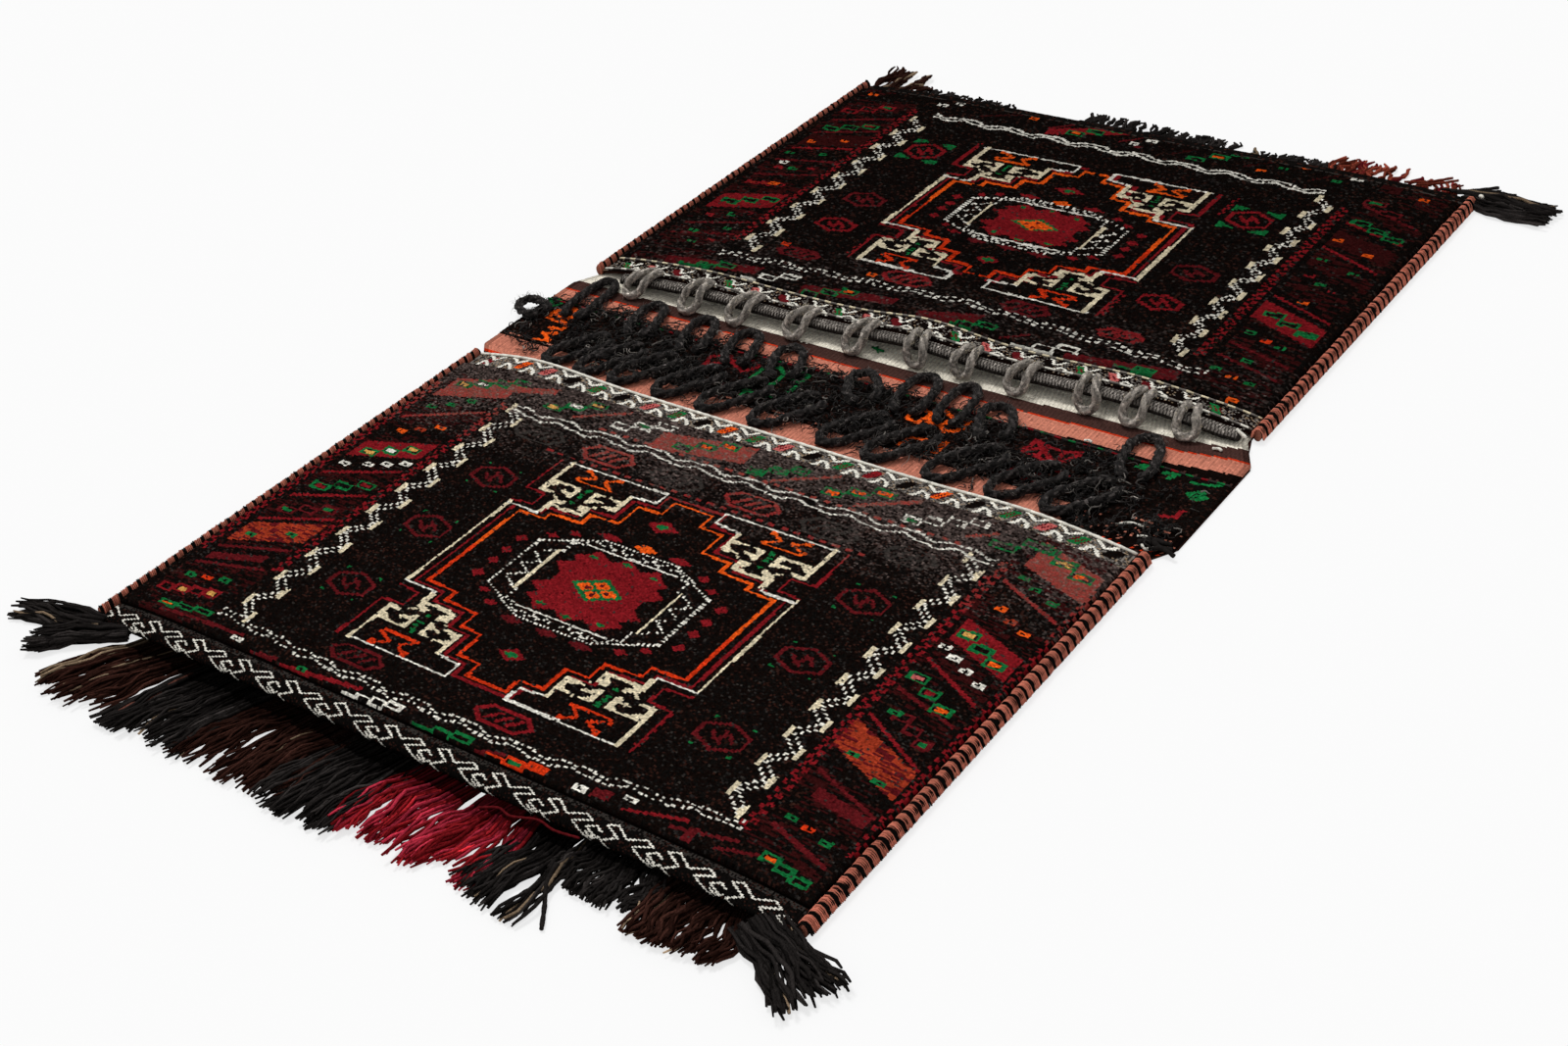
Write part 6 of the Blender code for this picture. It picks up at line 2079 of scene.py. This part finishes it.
@dataclass(frozen=True)
class Trim:
    """Sewn edge cords, loose threads and the white tie."""

    edge: float = 0.0022
    threads: tuple[tuple[Dye, float, tuple[tuple[float, float, float], ...]], ...] = (
        (Dye.CREAM, 0.0007, ((-0.233, -0.0430, 0.0036), (-0.222, -0.0412, 0.0042), (-0.206, -0.0385, 0.0036))),
        (Dye.CREAM, 0.0007, ((-0.199, -0.0410, 0.0036), (-0.189, -0.0428, 0.0040), (-0.178, -0.0432, 0.0036))),
        (Dye.GREEN, 0.0009, ((-0.019, 0.0815, 0.0036), (-0.013, 0.0795, 0.0044), (-0.007, 0.0800, 0.0036))),
        (Dye.GREEN, 0.0008, ((-0.015, 0.0835, 0.0036), (-0.014, 0.0800, 0.0050), (-0.010, 0.0765, 0.0036))),
        (Dye.WHITE, 0.0010, ((0.083, 0.0680, 0.0037), (0.086, 0.0688, 0.0042), (0.089, 0.0680, 0.0037))),
        (Dye.WHITE, 0.0010, ((0.200, 0.0335, 0.0072), (0.203, 0.0345, 0.0076), (0.206, 0.0338, 0.0072))),
        (Dye.WHITE, 0.0011, ((0.284, 0.0695, 0.0037), (0.288, 0.0705, 0.0042), (0.291, 0.0700, 0.0037))),
        (Dye.WHITE, 0.0013, ((0.294, 0.0880, 0.0120), (0.298, 0.0850, 0.0122), (0.303, 0.0840, 0.0100))),
        (Dye.WHITE, 0.0009, ((0.270, -0.0470, 0.0062), (0.279, -0.0425, 0.0075), (0.288, -0.0400, 0.0060))),
        (Dye.SOOT, 0.0021, ((0.292, -0.0560, 0.0045), (0.301, -0.0535, 0.0062), (0.309, -0.0560, 0.0050),
                            (0.317, -0.0545, 0.0045))),
        (Dye.SOOT, 0.0018, ((0.296, -0.0500, 0.0045), (0.304, -0.0515, 0.0064), (0.314, -0.0490, 0.0045))),
        (Dye.SOOT, 0.0015, ((0.302, -0.0590, 0.0042), (0.311, -0.0570, 0.0058), (0.321, -0.0590, 0.0040))),
        (Dye.SOOT, 0.0015, ((0.150, NEAR.end - 0.026, 0.0075), (0.154, NEAR.end - 0.040, 0.0050),
                            (0.163, NEAR.end - 0.053, 0.0022), (0.173, NEAR.end - 0.067, 0.0020))),
        (Dye.SOOT, 0.0014, ((0.276, 0.5050, 0.0070), (0.292, 0.5145, 0.0040), (0.314, 0.5345, 0.0022))),
        (Dye.SOOT, 0.0013, ((0.284, 0.5040, 0.0070), (0.300, 0.5160, 0.0040), (0.318, 0.5290, 0.0022))),
        (Dye.SOOT, 0.0013, ((0.290, 0.5030, 0.0070), (0.308, 0.5170, 0.0040), (0.332, 0.5270, 0.0022))),
        (Dye.RUSSET, 0.0012, ((0.243, 0.5050, 0.0070), (0.258, 0.5180, 0.0040), (0.273, 0.5365, 0.0022))),
        (Dye.RUSSET, 0.0012, ((0.255, 0.5050, 0.0070), (0.266, 0.5180, 0.0040), (0.279, 0.5340, 0.0022))),
        (Dye.WHITE, 0.0016, ((0.311, 0.4995, 0.0100), (0.3125, 0.4985, 0.0108), (0.314, 0.4972, 0.0100))),
        (Dye.MADDER, 0.0008, ((0.078, NEAR.end - 0.0150, 0.0100), (0.090, NEAR.end - 0.0100, 0.0112),
                              (0.101, NEAR.end - 0.0112, 0.0104), (0.118, NEAR.end - 0.0058, 0.0108),
                              (0.132, NEAR.end - 0.0072, 0.0100), (0.150, NEAR.end - 0.0048, 0.0100))),
    )

    @staticmethod
    def along_face(pouch: Pouch, distance: float, lift: float) -> np.ndarray:
        """A line across a pouch's face at one distance from its mouth."""
        x = np.linspace(-1, 1, 200) * (STRIP.half - 0.001)
        y = pouch.y(x, distance)
        z = pouch.underside(x, max(distance, 0.0)) + STRIP.face_weave + lift
        return np.stack([x, y, z], 1)

    def twisted(self, name: str, path: np.ndarray, radius: float, dyes: tuple[Dye, ...], length: float,
                seed: int, node: tuple[str, ...] = (), flat: float = 0.75) -> bpy.types.Object:
        """A two-ply cord along a path, its dyes taking turns.

        The radius is its own times one plus a tenth of the cosine of twice the turn less the twist.

        Args:
            name: the piece's name.
            path: its line.
            radius: half its width.
            dyes: colours in turn along it.
            length: of one colour's stretch.
            seed: for its unevenness.
            node: the solid that it stands for.
            flat: its height as a share of its width.

        Returns:
            The new object.
        """
        rng = np.random.default_rng(seed)
        gone = np.linspace(0, length_of(path), len(path))[:, None]
        turn = (np.arange(8) * math.pi / 4)[None]
        lobes = 1 + 0.10 * np.cos(2 * turn - 2 * math.pi * gone / (radius * 7))
        lobes = lobes + rng.normal(0, 0.04, (len(path), 1))
        points, groups = tubes(path[None], (radius * lobes)[None], 8, flat=flat)
        which = (gone[:-1, 0] / length).astype(int) % len(dyes)
        shade = np.array([dye.linear for dye in dyes])[which]
        shade = np.repeat(shade * (1 + 0.12 * rng.normal(0, 1, (len(shade), 1))), 8, axis=0)
        parts = (points, groups, np.concatenate([shade, shade[:1], shade[-1:]]))
        return piece_of(name, parts, STITCH_WOOL, "white_thread" if node else "woven_wool", node)

    def build(self) -> None:
        """Makes the edge cords, the panel's dashed cord, the threads and the tie."""
        half = self.edge / 2
        band = STRIP.mouth_band
        for k, (name, pouch, distance, lift, wide, dyes, length) in enumerate((
            ("near_mouth_cord", NEAR, 0.0013, 0.55, 1.15, (Dye.WHITE,), 0.01),
            ("near_band_cord", NEAR, band, 0.6, 1.0, (Dye.CREAM, Dye.GREY, Dye.CREAM), 0.006),
            ("far_mouth_cord", FAR, 0.0030, 0.5, 0.9, (Dye.WHITE, Dye.GREY), 0.008),
            ("far_band_cord", FAR, band, 0.6, 1.0, (Dye.CREAM, Dye.GREY), 0.006),
        )):
            path = self.along_face(pouch, distance, half * lift)
            self.twisted(name, path, half * wide, dyes, length, 501 + k)
        x = np.linspace(-1, 1, 320)
        y = np.interp(x, [-1, -0.38, -0.1, 0.6, 0.9, 1], [0.0280, 0.0270, 0.0315, 0.0325, 0.0310, 0.0310])
        y = y + 0.0005 * np.sin(x * 40)
        x = x * (STRIP.half_bridge - 0.001)
        path = np.stack([x, y, np.full_like(x, STRIP.back + STRIP.panel_rise + 0.0004)], 1)
        self.twisted("panel_cord", path, 0.0009, (G, D, C, D), 0.006, 505)
        for k, (dye, radius, points) in enumerate(self.threads):
            route = through(points, 0.0011)
            self.twisted(f"loose_thread_{k + 1:02d}", route, radius, (dye,), 0.01, 510 + k, flat=1.0)
        x, y, size, thread = STRIP.half_bridge - 0.018, STRIP.near_mouth + 0.0195, 0.012, 0.0022
        ways = ((-1.0, 0.2), (-0.5, 0.35), (0.0, 0.1), (0.35, -0.35), (0.0, -0.7), (-0.4, -0.4))
        route = through([(x + size * u, y + size * v, STRIP.back + thread / 2 + CLEAR) for u, v in ways], 0.0009)
        self.twisted("white_tie_thread", route, thread / 2, (Dye.WHITE,), 0.01, 520, ("white_tie",), 1.0)


def seen_straight(tree: bpy.types.NodeTree) -> bpy.types.NodeSocket:
    """One for rays of the camera, of a reflection and of a clear body, and nothing for the rest.

    Args:
        tree: where its nodes go.

    Returns:
        The socket that gives it.
    """
    rays = new_node(tree, "LightPath")
    seen = rays.outputs["Is Camera Ray"]
    for kind in ("Is Glossy Ray", "Is Transmission Ray"):
        larger = new_node(tree, "Math", {0: seen, 1: rays.outputs[kind]})
        larger.operation = "MAXIMUM"
        seen = larger.outputs["Value"]
    return seen


@dataclass(frozen=True)
class Studio:
    """A pale floor, soft light and the camera.

    Attributes:
        floor_size: the floor's width.
        floor_colour: its grey, from 0 to 1.
        glow: share of plain white in it, to the camera.
        sky: strength of the even sky.
        sun: strength of the soft sun.
        sun_width: angle that the sun takes up, in degrees.
        sun_turn: how far it is turned about X and Y, in degrees.
        lens: the camera's focal length, in millimetres.
        sensor: width of its sensor, in millimetres.
        right: its right side's direction.
        down: its underside's direction.
        forward: the direction of its view.
    """

    floor_size: float = 14.0
    floor_colour: float = 0.88
    glow: float = 0.72
    sky: float = 0.53
    sun: float = 1.68
    sun_width: float = 18
    sun_turn: tuple[float, float] = (-13, -24)
    lens: float = 49.56
    sensor: float = 36.0
    right: tuple[float, float, float] = (0.80352, 0.58552, -0.10729)
    down: tuple[float, float, float] = (0.26503, -0.51328, -0.81627)
    forward: tuple[float, float, float] = (-0.53302, 0.62746, -0.56762)

    def build(self) -> None:
        """Makes all of it, shown with its plain colours."""
        bpy.context.scene.view_settings.view_transform = "Standard"
        self.build_floor()
        self.build_light()
        self.build_camera()

    def floor_material(self) -> bpy.types.Material:
        """Matt and pale, with part of it plain white to the camera so that it shows light beside its shadows."""
        made = bpy.data.materials.new("pale_floor")
        made.use_nodes = True
        tree = made.node_tree
        shader = tree.nodes["Principled BSDF"]
        grey = (self.floor_colour, self.floor_colour, self.floor_colour, 1.0)
        feed(tree, shader, {"Base Color": grey, "Roughness": 1.0, "Specular IOR Level": 0.0})
        share = new_node(tree, "Math", {0: seen_straight(tree), 1: self.glow})
        share.operation = "MULTIPLY"
        white = new_node(tree, "Emission")
        mix = new_node(tree, "MixShader", {"Fac": share.outputs["Value"], 1: shader.outputs["BSDF"],
                                           2: white.outputs["Emission"]})
        feed(tree, tree.nodes["Material Output"], {"Surface": mix.outputs["Shader"]})
        return made

    def build_floor(self) -> None:
        """A wide plane at the height of the bag's underside."""
        half = self.floor_size / 2
        corners = [(-half, -half, 0), (half, -half, 0), (half, half, 0), (-half, half, 0)]
        mesh = bpy.data.meshes.new("floor")
        mesh.from_pydata(corners, [], [(0, 1, 2, 3)])
        mesh.materials.append(self.floor_material())
        floor = bpy.data.objects.new("floor", mesh)
        bpy.context.scene.collection.objects.link(floor)

    def build_light(self) -> None:
        """An even sky, white to the camera, and a soft sun from the upper left."""
        world = bpy.data.worlds.new("studio")
        world.use_nodes = True
        tree = world.node_tree
        light = tree.nodes["Background"]
        feed(tree, light, {"Color": (1, 1, 1, 1), "Strength": self.sky})
        white = new_node(tree, "Background", {"Color": (1, 1, 1, 1)})
        mix = new_node(tree, "MixShader", {"Fac": seen_straight(tree), 1: light.outputs["Background"],
                                           2: white.outputs["Background"]})
        feed(tree, tree.nodes["World Output"], {"Surface": mix.outputs["Shader"]})
        bpy.context.scene.world = world
        sun = bpy.data.lights.new("soft_sun", "SUN")
        sun.energy = self.sun
        sun.angle = math.radians(self.sun_width)
        lamp = bpy.data.objects.new("soft_sun", sun)
        lamp.rotation_euler = (*map(math.radians, self.sun_turn), 0)
        bpy.context.scene.collection.objects.link(lamp)

    def build_camera(self) -> None:
        """The camera at the photograph's viewing angle."""
        lens = bpy.data.cameras.new("camera")
        lens.lens = self.lens
        lens.sensor_width = self.sensor
        lens.clip_start = 0.05
        lens.clip_end = 50
        camera = bpy.data.objects.new("camera", lens)
        matrix = np.eye(4)
        matrix[:3, :3] = np.stack([self.right, -np.array(self.down), -np.array(self.forward)], 1)
        matrix[:3, 3] = CAMERA_AT
        camera.matrix_world = Matrix(matrix.tolist())
        bpy.context.scene.collection.objects.link(camera)
        bpy.context.scene.camera = camera


NEAR_LOZENGES = tuple(zip(
    (28, 65, 92, 118, 143, 168, 196, 223, 248, 271, 298, 324, 350, 377, 403, 432, 461, 490, 518, 546, 572, 598),
    (C, O, P, K, G, K, P, G, K, O, G, P, K, G, C, K, O, K, G, P, G, K),
))
NEAR_HOOKS = (31, 57, 82, 110, 135, 158, 185, 212, 238, 262, 288, 316, 342, 369, 395, 420, 455, 480, 506, 536,
              562, 590)
FAR_PITCH = 27.5          # of the far mouth's lozenges and hooks, in millimetres
FAR_LOZENGES = tuple((28 + FAR_PITCH * k, (G, P, M, K)[k % 4]) for k in range(21))
FAR_HOOKS = tuple(40 + FAR_PITCH * k for k in range(20))
FOLD_FIGURES = tuple(4 + 46.5 * k for k in range(13))


def main() -> None:
    """Builds the studio and every part of the bag in order."""
    logging.basicConfig(level=logging.INFO, format="%(message)s")
    Studio().build()
    ClosureLoops().build()
    PanelLoops().build()
    Shag().build()
    skins = [PileFace(NEAR, NEAR_DESIGN, 1, wear_and_sheen=0.62, depth=0.86).build(),
             PileFace(FAR, FAR_DESIGN, 2, knot=(0.0022, 0.0018), wear_and_sheen=0.08, depth=0.62).build()]
    skins += [MouthBand(NEAR, NEAR_LOZENGES, NEAR_HOOKS, 3).build(),
              MouthBand(FAR, FAR_LOZENGES, FAR_HOOKS, 4, 0.25, Dye.GROUND, 1.3).build()]
    skins += [FoldBand(NEAR, FOLD_FIGURES, 5, knot=(0.0012, 0.0010)).build(),
              FoldBand(FAR, (), 6, knot=(0.0024, 0.0020)).build()]
    skins += Bridge().build()
    Foundation().build(skins)
    ROLL.build()
    for pouch, side, dull in BINDINGS:
        SideBinding(pouch, side, dull=dull).build()
    NEAR_FRINGE.build()
    FAR_FRINGE.build()
    Trim().build()


if __name__ == "__main__":
    main()
